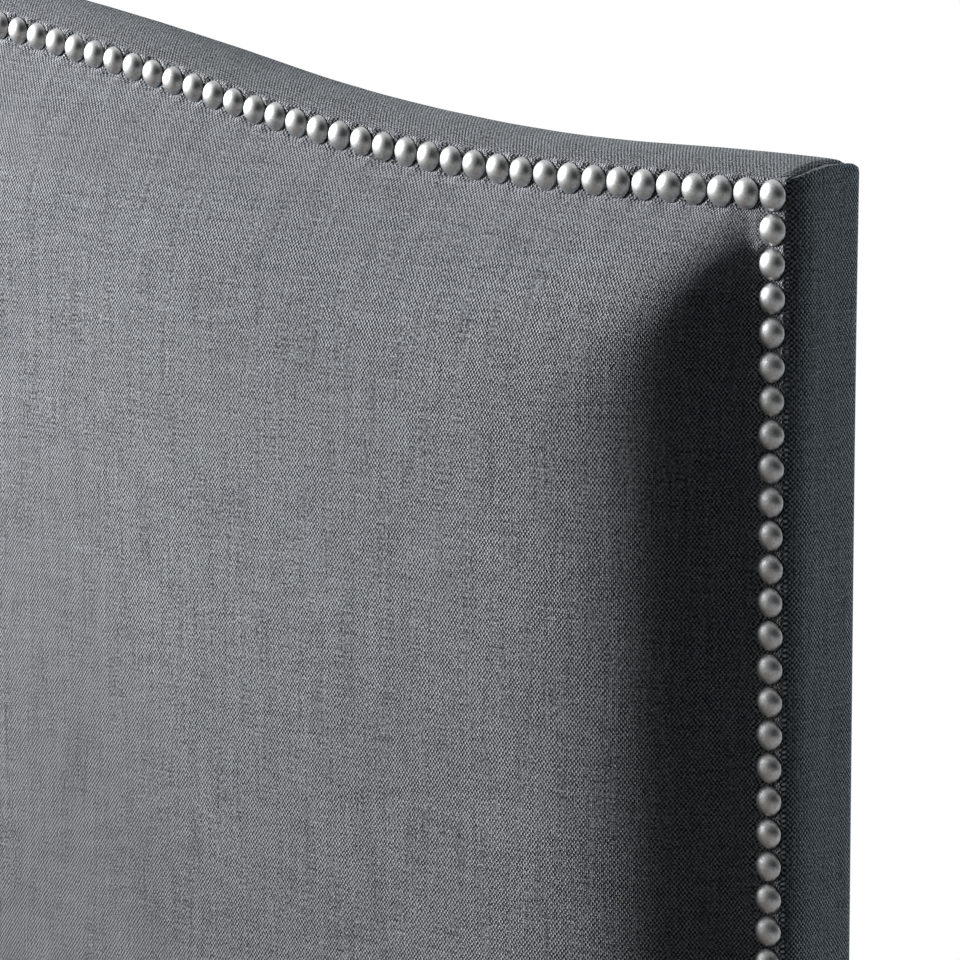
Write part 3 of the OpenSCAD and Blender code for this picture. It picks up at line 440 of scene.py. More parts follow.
# Lets a pinned sheet of cloth swell under pressure, and gives how far its points moved
def swell(points, columns, rows, pressure, most):
    mesh = bpy.data.meshes.new("swell")
    mesh.from_pydata([tuple(p) for p in points], [], loftFaces(columns, rows, closed=False))
    sheet = bpy.data.objects.new("swell", mesh)
    scene.collection.objects.link(sheet)
    pins = sheet.vertex_groups.new(name="pins")
    pins.add(rimLoop(columns, rows), 1.0, "REPLACE")
    cloth = sheet.modifiers.new("Cloth", "CLOTH")
    for key, value in stretchedCloth.items():
        setattr(cloth.settings, key, value)
    cloth.settings.uniform_pressure_force = pressure
    cloth.settings.effector_weights.gravity = 0
    cloth.collision_settings.use_collision = False
    cloth.collision_settings.use_self_collision = False
    for step in range(1, settlingSteps + 1):
        scene.frame_set(step)
    settled = sheet.evaluated_get(bpy.context.evaluated_depsgraph_get()).data
    moves = [settled.vertices[k].co - Vector(p) for k, p in enumerate(points)]
    longest = max(m.length for m in moves)
    scene.frame_set(1)
    bpy.data.objects.remove(sheet)
    if longest > most:
        moves = [m * (most / longest) for m in moves]
    print("cloth swelled", round(longest / mm, 2), "mm, kept", round(min(longest, most) / mm, 2))
    return moves


# Value of a grid of moves at column u and row v, both from 0 to 1
def sampled(moves, columns, rows, u, v):
    x, y = u * (columns - 1), v * (rows - 1)
    c, r = min(int(x), columns - 2), min(int(y), rows - 2)
    s, t = x - c, y - r
    low = moves[c * rows + r].lerp(moves[(c + 1) * rows + r], s)
    high = moves[c * rows + r + 1].lerp(moves[(c + 1) * rows + r + 1], s)
    return low.lerp(high, t)


# Nail trim: domed heads in a close row, and the cloth's dimples and puffs round them
nailTrim = {
    "headRadius": 5.7 * mm,
    "headHeight": 3.6 * mm,
    "inset": 6.8 * mm,
    "pitch": 12.0 * mm,
    "shankRadius": 0.8 * mm,
    "shankLength": 14.0 * mm,
    "rings": 8,
    "turns": 22,
    "tilt": math.radians(3.0),
    "reach": 45 * mm,
    "dimple": 0.4 * mm,
    "dimpleReach": 6.2 * mm,
    "puff": 1.5 * mm,
    "puffLine": 11.5 * mm,
    "puffFade": 7 * mm,
    "puffCorner": 14 * mm,
}


# Spots of the top row from the right corner to the left, and of one side column downwards
def nailSpots():
    inset = nailTrim["inset"]
    flat = headboard["shoulderFlat"] - inset
    hollow = (hollowRadius + inset) * steepest
    crest = (crestRadius - inset) * steepest
    whole = 2 * (flat + hollow + crest)
    top = shoulder - inset

    def spot(s):
        if s > whole / 2:
            x, z = spot(whole - s)
            return -x, z
        if s <= flat:
            return halfWidth - inset - s, top
        if s <= flat + hollow:
            turn = steepest * (s - flat) / hollow
            reach = hollowRadius + inset
            return curveWidth - reach * math.sin(turn), shoulder + hollowRadius - reach * math.cos(turn)
        turn = steepest * (1 - (s - flat - hollow) / crest)
        reach = crestRadius - inset
        return reach * math.sin(turn), crestHeight - crestRadius + reach * math.cos(turn)

    spaces = round(whole / nailTrim["pitch"])
    row = [spot(whole * k / spaces) for k in range(spaces + 1)]
    drop = top - apronTop - inset
    steps = int(drop / nailTrim["pitch"])
    column = [(halfWidth - inset, top - drop * k / steps) for k in range(1, steps + 1)]
    return row, column


topSpots, rightSpots = nailSpots()
leftSpots = [(-x, z) for x, z in rightSpots]


# Domed heads with turned-in rims, each set by hand with its own slight tilt
def nailRow(name, spots, node, seed):
    dice = random.Random(seed)
    radius, height = nailTrim["headRadius"], nailTrim["headHeight"]
    rings, turns = nailTrim["rings"], nailTrim["turns"]
    profile = []
    for k in range(rings):
        a = math.pi / 2 * k / (rings - 1)
        rise = height * math.cos(a) ** 1.12 if k < rings - 1 else 0.35 * mm
        profile.append((radius * math.sin(a) ** 0.96, rise))
    profile[0] = (0.0, height)
    shank, length = nailTrim["shankRadius"], nailTrim["shankLength"]
    profile += [(radius - 0.1 * mm, -0.15 * mm), (radius - 0.6 * mm, -0.15 * mm), (shank, 0.1 * mm)]
    profile += [(shank, -length + 2 * mm), (0.0, -length)]
    # How deep each ring of the head lies in the painted shade under the rim, from 0 to 1
    shades = [0.0] * (rings - 1) + [0.6] + [1.0] * (len(profile) - rings)
    points, faces, threads = [], [], []
    for x, z in spots:
        lean = dice.uniform(-1, 1) * nailTrim["tilt"]
        roll = dice.uniform(-1, 1) * nailTrim["tilt"]
        turn = Matrix.Rotation(lean, 3, "X") @ Matrix.Rotation(roll, 3, "Z")
        start = len(points)
        sunk = dice.uniform(0.0, 0.12) * mm
        twist = dice.uniform(0, 2 * math.pi)
        points.append(Vector((x, face - height + sunk, z)))
        threads.append((0.0, 0.0))
        for (r, h), shade in zip(profile[1:-1], shades[1:-1]):
            threads += [(shade, 0.0)] * turns
            for k in range(turns):
                a = twist + 2 * math.pi * k / turns
                p = turn @ Vector((r * math.cos(a), -h, r * math.sin(a)))
                points.append(Vector((x, face + sunk, z)) + p)
        points.append(Vector((x, face + length, z)))
        threads.append((1.0, 0.0))
        loops = len(profile) - 2
        faces += [(start, start + 1 + k, start + 1 + (k + 1) % turns) for k in range(turns)]
        faces += loftFaces(loops, turns, True, start + 1)
        end = len(points) - 1
        base = start + 1 + (loops - 1) * turns
        faces += [(end, base + (k + 1) % turns, base + k) for k in range(turns)]
    piece = newPiece(name, points, faces, pewter, threads)
    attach(piece, "bed")
    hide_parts(node)
    return piece


nailRow("NailsAlongTop", topSpots, "nail_trim_top", 11)
nailRow("NailsDownRight", rightSpots, "nail_trim_right", 12)
nailRow("NailsDownLeft", leftSpots, "nail_trim_left", 13)
print("nails set", len(topSpots) + 2 * len(rightSpots))

# Padding of the headboard; fine, middle, wide and open are the insets of its mesh rings in mm
padding = {
    "crown": 36 * mm,
    "run": 100 * mm,
    "power": 3.0,
    "mitre": 8 * mm,
    "border": 13 * mm,
    "rim": 0.3 * mm,
    "rimRoll": 1.5 * mm,
    "pucker": 0.35 * mm,
    "puckerReach": 17 * mm,
    "ripple": 0.30 * mm,
    "rippleEdge": (15 * mm, 80 * mm),
    "swell": 2.5 * mm,
    "pressure": 3.0,
    "fine": [
        0.3, 0.7, 1.3, 2.0, 3.2, 4.6, 6.8, 9.0, 11.0, 12.6, 14.0, 15.5, 17.2, 19.2, 21.5, 24.5, 28.0, 32.0,
    ],
    "middle": [36.5, 42.0, 48.0, 55.0],
    "wide": [62.0, 71.0, 82.0],
    "open": [96.0, 112.0],
    "columns": 132,
    "rows": 62,
    "held": 0.013,
    "sheetGrid": (82, 44),
}


# Share of the full crown reached at a distance from the edge
def crownAt(inset):
    t = min(max((inset - padding["border"]) / padding["run"], 0.0), 1.0)
    return 1 - (1 - t) ** padding["power"]


# Cloth that the slope takes up between the edge and full crown, summed once in small steps
slopeStep = 0.5 * mm
slopeExtra = [0.0]
for k in range(int((padding["border"] + padding["run"]) / slopeStep), -1, -1):
    rise = padding["crown"] * (crownAt((k + 1) * slopeStep) - crownAt(k * slopeStep)) / slopeStep
    slopeExtra.append(slopeExtra[-1] + (math.sqrt(1 + rise * rise) - 1) * slopeStep)
slopeExtra.reverse()


def extraCloth(inset):
    k = max(inset, 0.0) / slopeStep
    if k >= len(slopeExtra) - 1:
        return 0.0
    return between(slopeExtra[int(k)], slopeExtra[int(k) + 1], k - int(k))


allSpots = topSpots + rightSpots + leftSpots
nailTree = kdtree.KDTree(len(allSpots))
for k, (x, z) in enumerate(allSpots):
    nailTree.insert((x, 0, z), k)
nailTree.balance()


# Distances of a point of the pad's face from its sides, its top and its foot
def padInsets(x, z):
    return halfWidth - abs(x), (camelHeight(x) - z) * math.cos(camelSlope(x)), z - apronTop


# Y of the pad's face: its crown and rolled edge, then nails, gaps, pulls and a slow ripple
def padDepth(x, z):
    side, top, foot = padInsets(x, z)
    mitre = padding["mitre"]
    edge = min(side, top, foot)
    inward = edge - mitre * math.log(sum(math.exp((edge - a) / mitre) for a in (side, top, foot)))
    y = face - padding["crown"] * crownAt(inward)
    if edge < padding["rimRoll"]:
        y += rolled(max(edge - padding["rim"], 0), padding["rimRoll"])
    near = min(side, top)
    if near < nailTrim["reach"] and foot > 0:
        away = nailTree.find((x, 0, z))[2]
        y += nailTrim["dimple"] * math.exp(-(away / nailTrim["dimpleReach"]) ** 2)
        # Cloth and foam stand up in the gaps round the heads
        gap = smooth((away - nailTrim["headRadius"] - 0.1 * mm) / (1.9 * mm))
        gap *= 0.25 + 0.75 * smooth(max(side, top) / nailTrim["puffCorner"] - 1)
        fade = math.exp(-(max(near - nailTrim["puffLine"], 0) / nailTrim["puffFade"]) ** 2)
        y -= nailTrim["puff"] * gap * fade * smooth((edge + 0.8 * mm) / (2.5 * mm))
        # Small pulls run inwards from each nail and die away
        inward = near - nailTrim["inset"]
        if inward > -0.003:
            second = nailTree.find_n((x, 0, z), 2)[1][2]
            middle = 1 - min(1.0, (second - away) / (nailTrim["pitch"] * 0.9))
            fade = math.exp(-(max(inward, 0) / padding["puckerReach"]) ** 1.3)
            strength = 0.7 + 0.6 * wander(x * 31, z * 31, 4.0)
            y -= padding["pucker"] * (middle - 0.5) * fade * strength
    ripple = wander(x * 5.5, z * 2.2, 1.7) + 0.4 * wander(x * 17, z * 6, 8.1)
    flatEdge, fadeIn = padding["rippleEdge"]
    y -= padding["ripple"] * ripple * smooth((edge - flatEdge) / fadeIn)
    return y


# Point of a ring: which is 0 foot, 1 right, 2 top, 3 left, and t runs from 0 to 1 round the pad
def ringPoint(inset, which, t):
    wide = halfWidth - inset
    low = apronTop + inset
    if which == 0:
        return between(-wide, wide, t), low
    if which == 1:
        return wide, between(low, camelHeight(wide, inset), t)
    if which == 2:
        x = between(wide, -wide, t)
        return x, camelHeight(x, inset)
    return -wide, between(camelHeight(wide, inset), low, t)


def headboardPad():
    columns, rows = padding["columns"], padding["rows"]
    insets = [(i * mm, 8) for i in padding["fine"]] + [(i * mm, 4) for i in padding["middle"]]
    insets += [(i * mm, 2) for i in padding["wide"]] + [(i * mm, 1) for i in padding["open"]]
    flat, faces, rings = [], [], []
    for inset, dense in insets:
        ring = []
        for which, count in ((0, columns), (1, rows), (2, columns), (3, rows)):
            ring += [ringPoint(inset, which, k / (count * dense)) for k in range(count * dense)]
        rings.append((len(flat), len(ring), dense))
        flat += ring
    for (a, sizeA, denseA), (b, sizeB, denseB) in zip(rings, rings[1:]):
        if denseA == denseB:
            faces += bridge(range(a, a + sizeA), range(b, b + sizeB))
        else:
            for k in range(sizeB):
                p, q, r = a + 2 * k, a + 2 * k + 1, a + (2 * k + 2) % sizeA
                m, n = b + k, b + (k + 1) % sizeB
                faces += [(p, q, m), (q, n, m), (q, r, n)]
    # The open middle is a plain grid that shares its rim with the last ring
    lastStart = rings[-1][0]
    inset = insets[-1][0]
    wide, low = halfWidth - inset, apronTop + inset
    grid = {}
    for c in range(columns + 1):
        for r in range(rows + 1):
            if r == 0 and c < columns:
                grid[c, r] = lastStart + c
            elif c == columns and r < rows:
                grid[c, r] = lastStart + columns + r
            elif r == rows and c > 0:
                grid[c, r] = lastStart + columns + rows + (columns - c)
            elif c == 0 and r > 0:
                grid[c, r] = lastStart + 2 * columns + rows + (rows - r)
            else:
                x = between(-wide, wide, c / columns)
                grid[c, r] = len(flat)
                flat.append((x, between(low, camelHeight(x, inset), r / rows)))
    for c in range(columns):
        faces += [(grid[c, r], grid[c + 1, r], grid[c + 1, r + 1], grid[c, r + 1]) for r in range(rows)]
    points = [Vector((x, padDepth(x, z), z)) for x, z in flat]

    # Swell of the stretched cloth over the foam, from a coarse sheet held at the nails
    cols, rws = padding["sheetGrid"]
    held = padding["held"]
    coarse = []
    for c in range(cols):
        x = between(-halfWidth + held, halfWidth - held, c / (cols - 1))
        for r in range(rws):
            z = between(apronTop + held, camelHeight(x, held), r / (rws - 1))
            coarse.append(Vector((x, padDepth(x, z), z)))
    moves = swell(coarse, cols, rws, -padding["pressure"], padding["swell"])
    for k, p in enumerate(points):
        u = (p.x + halfWidth - held) / (2 * halfWidth - 2 * held)
        top, low = camelHeight(p.x, held), apronTop + held
        v = (p.z - low) / (top - low)
        if 0 < u < 1 and 0 < v < 1:
            points[k] = p + sampled(moves, cols, rws, u, v)
    threads = []
    for x, z in flat:
        side, top, foot = padInsets(x, z)
        threads.append((x + math.copysign(extraCloth(side), x), z + extraCloth(top) - extraCloth(foot)))
    # Cloth turned back over the edge, and the flat back of the foam
    count = rings[0][1]
    panel = headboard["panelFront"] - 0.05 * mm
    for y, inset in ((coverBack, 0.0), (coverBack + 0.02 * mm, 3.2 * mm), (panel, 3.4 * mm)):
        start = len(points)
        for k in range(count):
            x, z = flat[k]
            side = inset * (1 if abs(x) > halfWidth - 0.5 * mm else 0)
            up = inset if z > apronTop + 1 * mm and abs(x) < halfWidth - 0.5 * mm else 0.0
            down = inset if z <= apronTop + 1 * mm else 0.0
            points.append(Vector((x - math.copysign(side, x), y, z - up + down)))
            threads.append((x, z))
        before = 0 if y == coverBack else start - count
        for k in range(count):
            after = (k + 1) % count
            faces.append((before + after, before + k, start + k, start + after))
    faces.append(tuple(range(len(points) - count, len(points))))
    piece = newPiece("HeadboardPadding", points, faces, linen, threads)
    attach(piece, "bed")
    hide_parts("headboard_cover", "headboard_foam")
    return piece


headboardPad()
print("headboard padded")

# Bands wrapped round the edge, over the outline and down both sides
bands = {
    "thick": 3.0 * mm,
    "crown": 5.2 * mm,
    "peak": 0.58,
    "cornerShare": 0.75,
    "frontPower": 2.2,
    "backPower": 5.0,
    "lead": (0.7 * mm, 0.42 * mm),
    "cornerStops": [(0.0, 0.0), (0.08, 1 / 3), (0.25, 2 / 3), (0.55, 1.0)],
    "hollowRise": 0.9 * mm,
    "hollowRun": 0.12,
    "sideCrown": 3.1 * mm,
    "sidePower": 4.5,
    "rearPower": 12.0,
    "sideTop": 1.3 * mm,
    "sideFade": 60 * mm,
    "seam": 0.8 * mm,
    "lip": 1.1 * mm,
    "step": 4.0 * mm,
    "topRoll": 0.9 * mm,
    "rearRoll": 1.6 * mm,
    "pull": 0.10 * mm,
    "endFold": (0.7 * mm, 2.4 * mm),
    "endSteps": [0, 0.3, 0.8, 1.6, 3, 5],
    "topShares": [
        0, 0.02, 0.05, 0.1, 0.17, 0.25, 0.34, 0.43, 0.52, 0.61, 0.7, 0.78, 0.85, 0.91, 0.955, 0.985, 1.0,
    ],
    "sideShares": [0, 0.02, 0.05, 0.1, 0.18, 0.28, 0.4, 0.52, 0.64, 0.75, 0.84, 0.91, 0.955, 0.985, 1.0],
    "sideLevels": [0, 0.4, 1.2, 3, 6] + [6 + 8 * k for k in range(1, 136)],
    "sideLevelsEnd": 1.236,
    "topDrops": [6.0, 3.0, 1.5, 0.8, 0.3, 0.0],
}
bandDepth = headboard["back"] - 0.35 * mm - coverBack


# Height of a band over the outline at a share s of its depth from the front
def bandHeight(s, crown):
    if s < 0:
        return bands["lead"][1] * s * bandDepth / bands["lead"][0]
    if s < bands["peak"]:
        return crown * (1 - (1 - s / bands["peak"]) ** bands["frontPower"])
    past = (s - bands["peak"]) / (1 - bands["peak"])
    return crown - (crown + bands["crown"] / 4) * past ** bands["backPower"]


# Full crown of the top band at x, lower towards the corner and a little fuller in the hollow
def cornerCrown(x):
    out = halfWidth - abs(x)
    stops = bands["cornerStops"]
    share = out / headboard["shoulderFlat"]
    for (a, low), (b, high) in zip(stops, stops[1:]):
        if share < b:
            share = between(low, high, (share - a) / (b - a))
            return bands["crown"] * between(bands["cornerShare"], 1, share)
    past = (out - headboard["shoulderFlat"]) / bands["hollowRun"]
    return bands["crown"] + bands["hollowRise"] * smooth(past)


def topBand():
    depthShares = [-bands["lead"][0] / bandDepth] + bands["topShares"]
    end = halfWidth - bands["lip"] - 0.2 * mm
    ins = [i * mm for i in bands["endSteps"]]
    stations = int(2 * (end - ins[-1]) / bands["step"])
    xs = [end - i for i in ins]
    xs += [between(end - ins[-1], -end + ins[-1], k / stations) for k in range(1, stations)]
    xs += [-end + i for i in reversed(ins)]
    points, threads, run = [], [], 0.0
    previous = None
    for x in xs:
        slope = camelSlope(x)
        out = Vector((-math.sin(slope), 0, math.cos(slope)))
        base = Vector((x, 0, camelHeight(x)))
        if previous is not None:
            run += (base - previous).length
        previous = base
        fold = bands["endFold"][0] * (1 - smooth((end - abs(x)) / bands["endFold"][1]))
        across = 0.0
        last = None
        for s in depthShares:
            pull = bands["pull"] * wander(x * 60, s * 3.0, 2.2) * smooth(s * 6) * smooth((1 - s) * 6)
            h = bandHeight(s, cornerCrown(x)) - fold + pull
            p = base + out * h + Vector((0, coverBack + s * bandDepth, 0))
            if last is not None:
                across += (p - last).length
            last = p
            points.append(p)
            threads.append((run, across))
        for s in (1.0, 0.5, 0.0):
            points.append(base - out * bands["thick"] + Vector((0, coverBack + s * bandDepth, 0)))
            threads.append((run, across + bands["thick"]))
    count = len(depthShares) + 3
    piece = newPiece("TopBand", points, tubeFaces(len(xs), count), paintedShadeBandLinen, threads)
    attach(piece, "bed")
    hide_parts("headboard_top_band")


# The side band rises to a curved end that meets the top band in a seam
def sideBand(name, side, node):
    depthShares = [-bands["lead"][0] / bandDepth] + bands["sideShares"]
    levels = [floorGap + z * mm for z in bands["sideLevels"]]
    rings = [(z, 0.0) for z in levels if z < bands["sideLevelsEnd"]]
    rings += [(None, drop * mm) for drop in bands["topDrops"]]
    crown = bands["crown"] * bands["cornerShare"]
    points, threads = [], []
    for level, drop in rings:
        for s in depthShares:
            seam = shoulder + bandHeight(s, crown) - bands["seam"]
            z = seam - drop if level is None else level
            down = seam - z
            full = bands["sideCrown"] + bands["sideTop"] * math.exp(-max(down, 0) / bands["sideFade"])
            power = bands["sidePower"] if s < 0.5 else bands["rearPower"]
            bow = full * (1 - abs(2 * max(s, 0) - 1) ** power)
            bow -= rolled((1 - s) * bandDepth, bands["rearRoll"])
            if s < 0:
                bow = -bands["lead"][1]
            bow += bands["pull"] * wander(s * 3.0, z * 22, 5.0 + side) * smooth(s * 5) * smooth((1 - s) * 5)
            bow *= smooth((z - floorGap) / (1.5 * mm) + 0.5)
            x = halfWidth + bow - rolled(down, bands["topRoll"])
            points.append(Vector((side * x, coverBack + s * bandDepth, z)))
            threads.append((s * bandDepth * 1.01, z))
        for s in (1.0, 0.5, 0.0):
            z = shoulder + bandHeight(s, crown) - bands["seam"] - drop if level is None else level
            thick = bands["thick"] if z < shoulder - 3.4 * mm else bands["lip"]
            points.append(Vector((side * (halfWidth - thick), coverBack + s * bandDepth, z)))
            threads.append((bandDepth + (1 - s) * bandDepth, z))
    count = len(depthShares) + 3
    piece = newPiece(name, points, tubeFaces(len(rings), count), paintedShadeBandLinen, threads)
    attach(piece, "bed")
    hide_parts(node)


topBand()
sideBand("SideBandRight", 1, "headboard_side_band_right")
sideBand("SideBandLeft", -1, "headboard_side_band_left")
print("bands wrapped")

# Flat cloth under the padding
apron = {"edgeRoll": 1.4 * mm, "pull": 0.25 * mm, "grid": (136, 26)}


def headboardApron():
    low, high = floorGap, apronTop - 0.4 * mm
    wide = halfWidth - 0.3 * mm
    cols, rws = apron["grid"]
    back = headboard["panelFront"] - 0.05 * mm
    points, threads = [], []
    for c in range(cols):
        x = between(-wide, wide, c / (cols - 1))
        for r in range(rws):
            t = r / (rws - 1)
            z = between(low, high, 0.5 - 0.5 * math.cos(math.pi * t))
            edge = min(z - low, high - z, wide - abs(x))
            y = face + rolled(edge, apron["edgeRoll"])
            y += apron["pull"] * abs(wander(x * 14, z * 30, 3.3)) * smooth(edge / 0.01)
            points.append(Vector((x, y, z)))
            threads.append((x, z))
    faces = loftFaces(cols, rws, closed=False)
    loop = rimLoop(cols, rws)
    start = len(points)
    for k in loop:
        p = points[k]
        points.append(Vector((p.x, back, p.z)))
        threads.append((p.x, p.z))
    rear = tuple(range(start, len(points)))
    faces += bridge(loop, rear) + [rear]
    piece = newPiece("HeadboardApron", points, faces, linen, threads)
    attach(piece, "bed")
    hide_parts("headboard_apron")


headboardApron()

# Dust cloth and its staples on the back
backCloth = {
    "thick": 1.0 * mm,
    "edge": 1.2 * mm,
    "corner": 6 * mm,
    "sag": 3.5 * mm,
    "sagRun": 0.14,
    "wrinkle": 0.22 * mm,
    "postWidth": 70 * mm,
    "stileHalf": 45 * mm,
    "rails": [(0.110, 0.192), (0.735, 0.825), (1.148, 1.330)],
    "stapleGap": 48 * mm,
    "stapleInset": 13 * mm,
    "staple": [(-5, -6), (-5, 0.25), (-4.6, 0.65), (4.6, 0.65), (5, 0.25), (5, -6)],
    "wire": (0.6, 0.3),
    "endSteps": [0, 0.4, 1.2, 2.4, 4.2, 6.6],
    "endRun": 0.012,
    "columns": 142,
    "rows": 104,
    "strips": 400,
}


# How far the cloth sinks between the frame's members
def clothSag(x, z):
    openWidth = min(halfWidth - backCloth["postWidth"] - abs(x), abs(x) - backCloth["stileHalf"])
    for low, high in backCloth["rails"]:
        openWidth = min(openWidth, max(low - z, z - high))
    if openWidth <= 0:
        return 0.0
    share = smooth(openWidth / backCloth["sagRun"])
    return backCloth["sag"] * share * (0.9 + 0.3 * wander(x * 4, z * 4, 9.0))


def backSheet():
    wide = halfWidth - backCloth["edge"]
    ends = [e * mm for e in backCloth["endSteps"]]
    middle, last = wide - backCloth["endRun"], backCloth["columns"] - 1
    xs = [-wide + e for e in ends] + [between(-middle, middle, c / last) for c in range(last + 1)]
    xs += [wide - e for e in reversed(ends)]
    cols, rws = len(xs), backCloth["rows"]
    corner = backCloth["corner"]
    outer, inner = [], []
    for x in xs:
        for r in range(rws):
            nook = max(corner - (wide - abs(x)), 0.0)
            top = camelHeight(x, 2 * backCloth["edge"]) - corner + math.sqrt(corner ** 2 - nook ** 2)
            z = between(floorGap, top, r / (rws - 1))
            sag = clothSag(x, z)
            wrinkle = backCloth["wrinkle"] * wander(x * 26, z * 11, 6.0) * smooth(sag / (1.5 * mm))
            y = headboard["back"] - 0.05 * mm - sag + wrinkle
            outer.append(Vector((x, y, z)))
            inner.append(Vector((x, y - backCloth["thick"], z)))
    faces = loftFaces(cols, rws, closed=False)
    count = len(outer)
    faces += [tuple(k + count for k in reversed(f)) for f in faces]
    loop = rimLoop(cols, rws)
    faces += bridge(loop, [k + count for k in loop])
    piece = newPiece("BackDustCloth", outer + inner, faces, dustCloth)
    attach(piece, "bed")
    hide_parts("headboard_back_cover")
    staples = backStaples()


# Flat-crowned staples, a row set in from the edge
def backStaples():
    dice = random.Random(21)
    gap, inset = backCloth["stapleGap"], backCloth["stapleInset"]
    places = []
    count = int((2 * halfWidth - 4 * inset) / gap)
    for k in range(count + 1):
        x = between(-halfWidth + 2 * inset, halfWidth - 2 * inset, k / count)
        places.append((x, camelHeight(x) - inset, -camelSlope(x)))
        places.append((x, floorGap + inset, 0.0))
    count = int((shoulder - floorGap - 4 * inset) / gap)
    for k in range(count + 1):
        z = between(floorGap + 2 * inset, shoulder - 2 * inset, k / count)
        places += [(side * (halfWidth - inset), z, math.pi / 2) for side in (-1, 1)]
    bar, (wide, thick) = backCloth["staple"], backCloth["wire"]
    points, faces = [], []
    for x, z, turn in places:
        turn += dice.uniform(-0.12, 0.12)
        c, s = math.cos(turn), math.sin(turn)
        start = len(points)
        for along, out in bar:
            for a, b in ((-wide, -thick), (wide, -thick), (wide, thick), (-wide, thick)):
                lean = (b, 0) if abs(along) > 4.9 and out < 0 else (0, b)
                u, v, w = (along + lean[0]) * mm, a * mm, (out + lean[1]) * mm
                y = headboard["back"] - 0.05 * mm + w
                points.append(Vector((x + u * c - v * s, y, z + u * s + v * c)))
        faces += loftFaces(len(bar), 4, True, start)
        faces += [(start + 3, start + 2, start + 1, start), tuple(start + 20 + k for k in range(4))]
    piece = newPiece("BackStaples", points, faces, zinc, smoothed=False)
    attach(piece, "bed")
    return piece


backSheet()
print("back closed")

# Padded sections of the rails and the footboard
soft = {
    "skin": 1.8 * mm,
    "cloth": 1.5 * mm,
    "edgeRadius": 4.5 * mm,
    "railSwell": 2.0 * mm,
    "footSwell": 4.0 * mm,
    "railGrid": (131, 20),
    "footGrid": (111, 22),
    "railStations": 261,
    "footStations": 180,
    "footEnds": [0, 0.25, 0.8, 1.6, 2.8, 4.2, 6.0, 9.0, 14.0, 22.0],
    "footEndRun": 0.030,
    "pressure": 2.0,
    "railPull": 0.18 * mm,
    "underPull": 0.15 * mm,
    "footPull": 0.25 * mm,
}
sideRail = {
    "inner": 0.7718,
    "board": 25 * mm,
    "edge": 5 * mm,
    "crown": 3 * mm,
    "low": 0.110,
    "high": 0.360,
    "front": -1.03735,
    "back": 1.04665,
    "return": 36 * mm,
}
footboard = {
    "inner": -1.03735,
    "board": 25 * mm,
    "edge": 5 * mm,
    "crown": 14 * mm,
    "low": 0.110,
    "high": 0.380,
    "roundness": 6.0 * mm,
    "cornerRoll": 3.2 * mm,
    "endShares": (0.75, 0.5, 0.25),
    "endBulge": 0.4 * mm,
}


# Outer loop of a padded board as (outwards, up) from the inner face of its board and its foot:
# round the lower edge, up the crowned face and round the upper edge
def paddedLoop(board, edge, crown, height, faceSteps=22):
    skin, r = soft["skin"], soft["edgeRadius"]
    h = height - 2 * skin
    tall = h - 2 * r
    arc = (tall * tall / 4 + crown * crown) / (2 * crown)
    half = math.asin(tall / 2 / arc)
    centre = board + edge + crown - arc
    loop = []
    for k in range(7):   # rounded lower edge
        a = -math.pi / 2 + (math.pi / 2 - half * 0.6) * k / 6
        loop.append((board + edge - r + (r + skin) * math.cos(a), skin + r + (r + skin) * math.sin(a)))
    for k in range(1, faceSteps):
        a = half * (2 * k / faceSteps - 1)
        loop.append((centre + (arc + skin) * math.cos(a), skin + h / 2 + (arc + skin) * math.sin(a)))
    for k in range(7):   # rounded upper edge
        a = half * 0.6 + (math.pi / 2 - half * 0.6) * k / 6
        loop.append((board + edge - r + (r + skin) * math.cos(a), skin + h - r + (r + skin) * math.sin(a)))
    return loop


def loopLength(loop):
    run, marks = 0.0, [0.0]
    for a, b in zip(loop, loop[1:]):
        run += math.hypot(b[0] - a[0], b[1] - a[1])
        marks.append(run)
    return marks


# Swell of the crowned face of a padded board; place turns (along, outwards, up) into a point
def faceSwell(outer, grid, low, high, place, pressure, most):
    cols, rws = grid
    points = []
    for c in range(cols):
        along = between(low, high, c / (cols - 1))
        for r in range(rws):
            want = r / (rws - 1) * (len(outer) - 1)
            k = min(int(want), len(outer) - 2)
            (outA, upA), (outB, upB) = outer[k], outer[k + 1]
            points.append(place(along, between(outA, outB, want - k), between(upA, upB, want - k)))
    return swell(points, cols, rws, pressure, most)


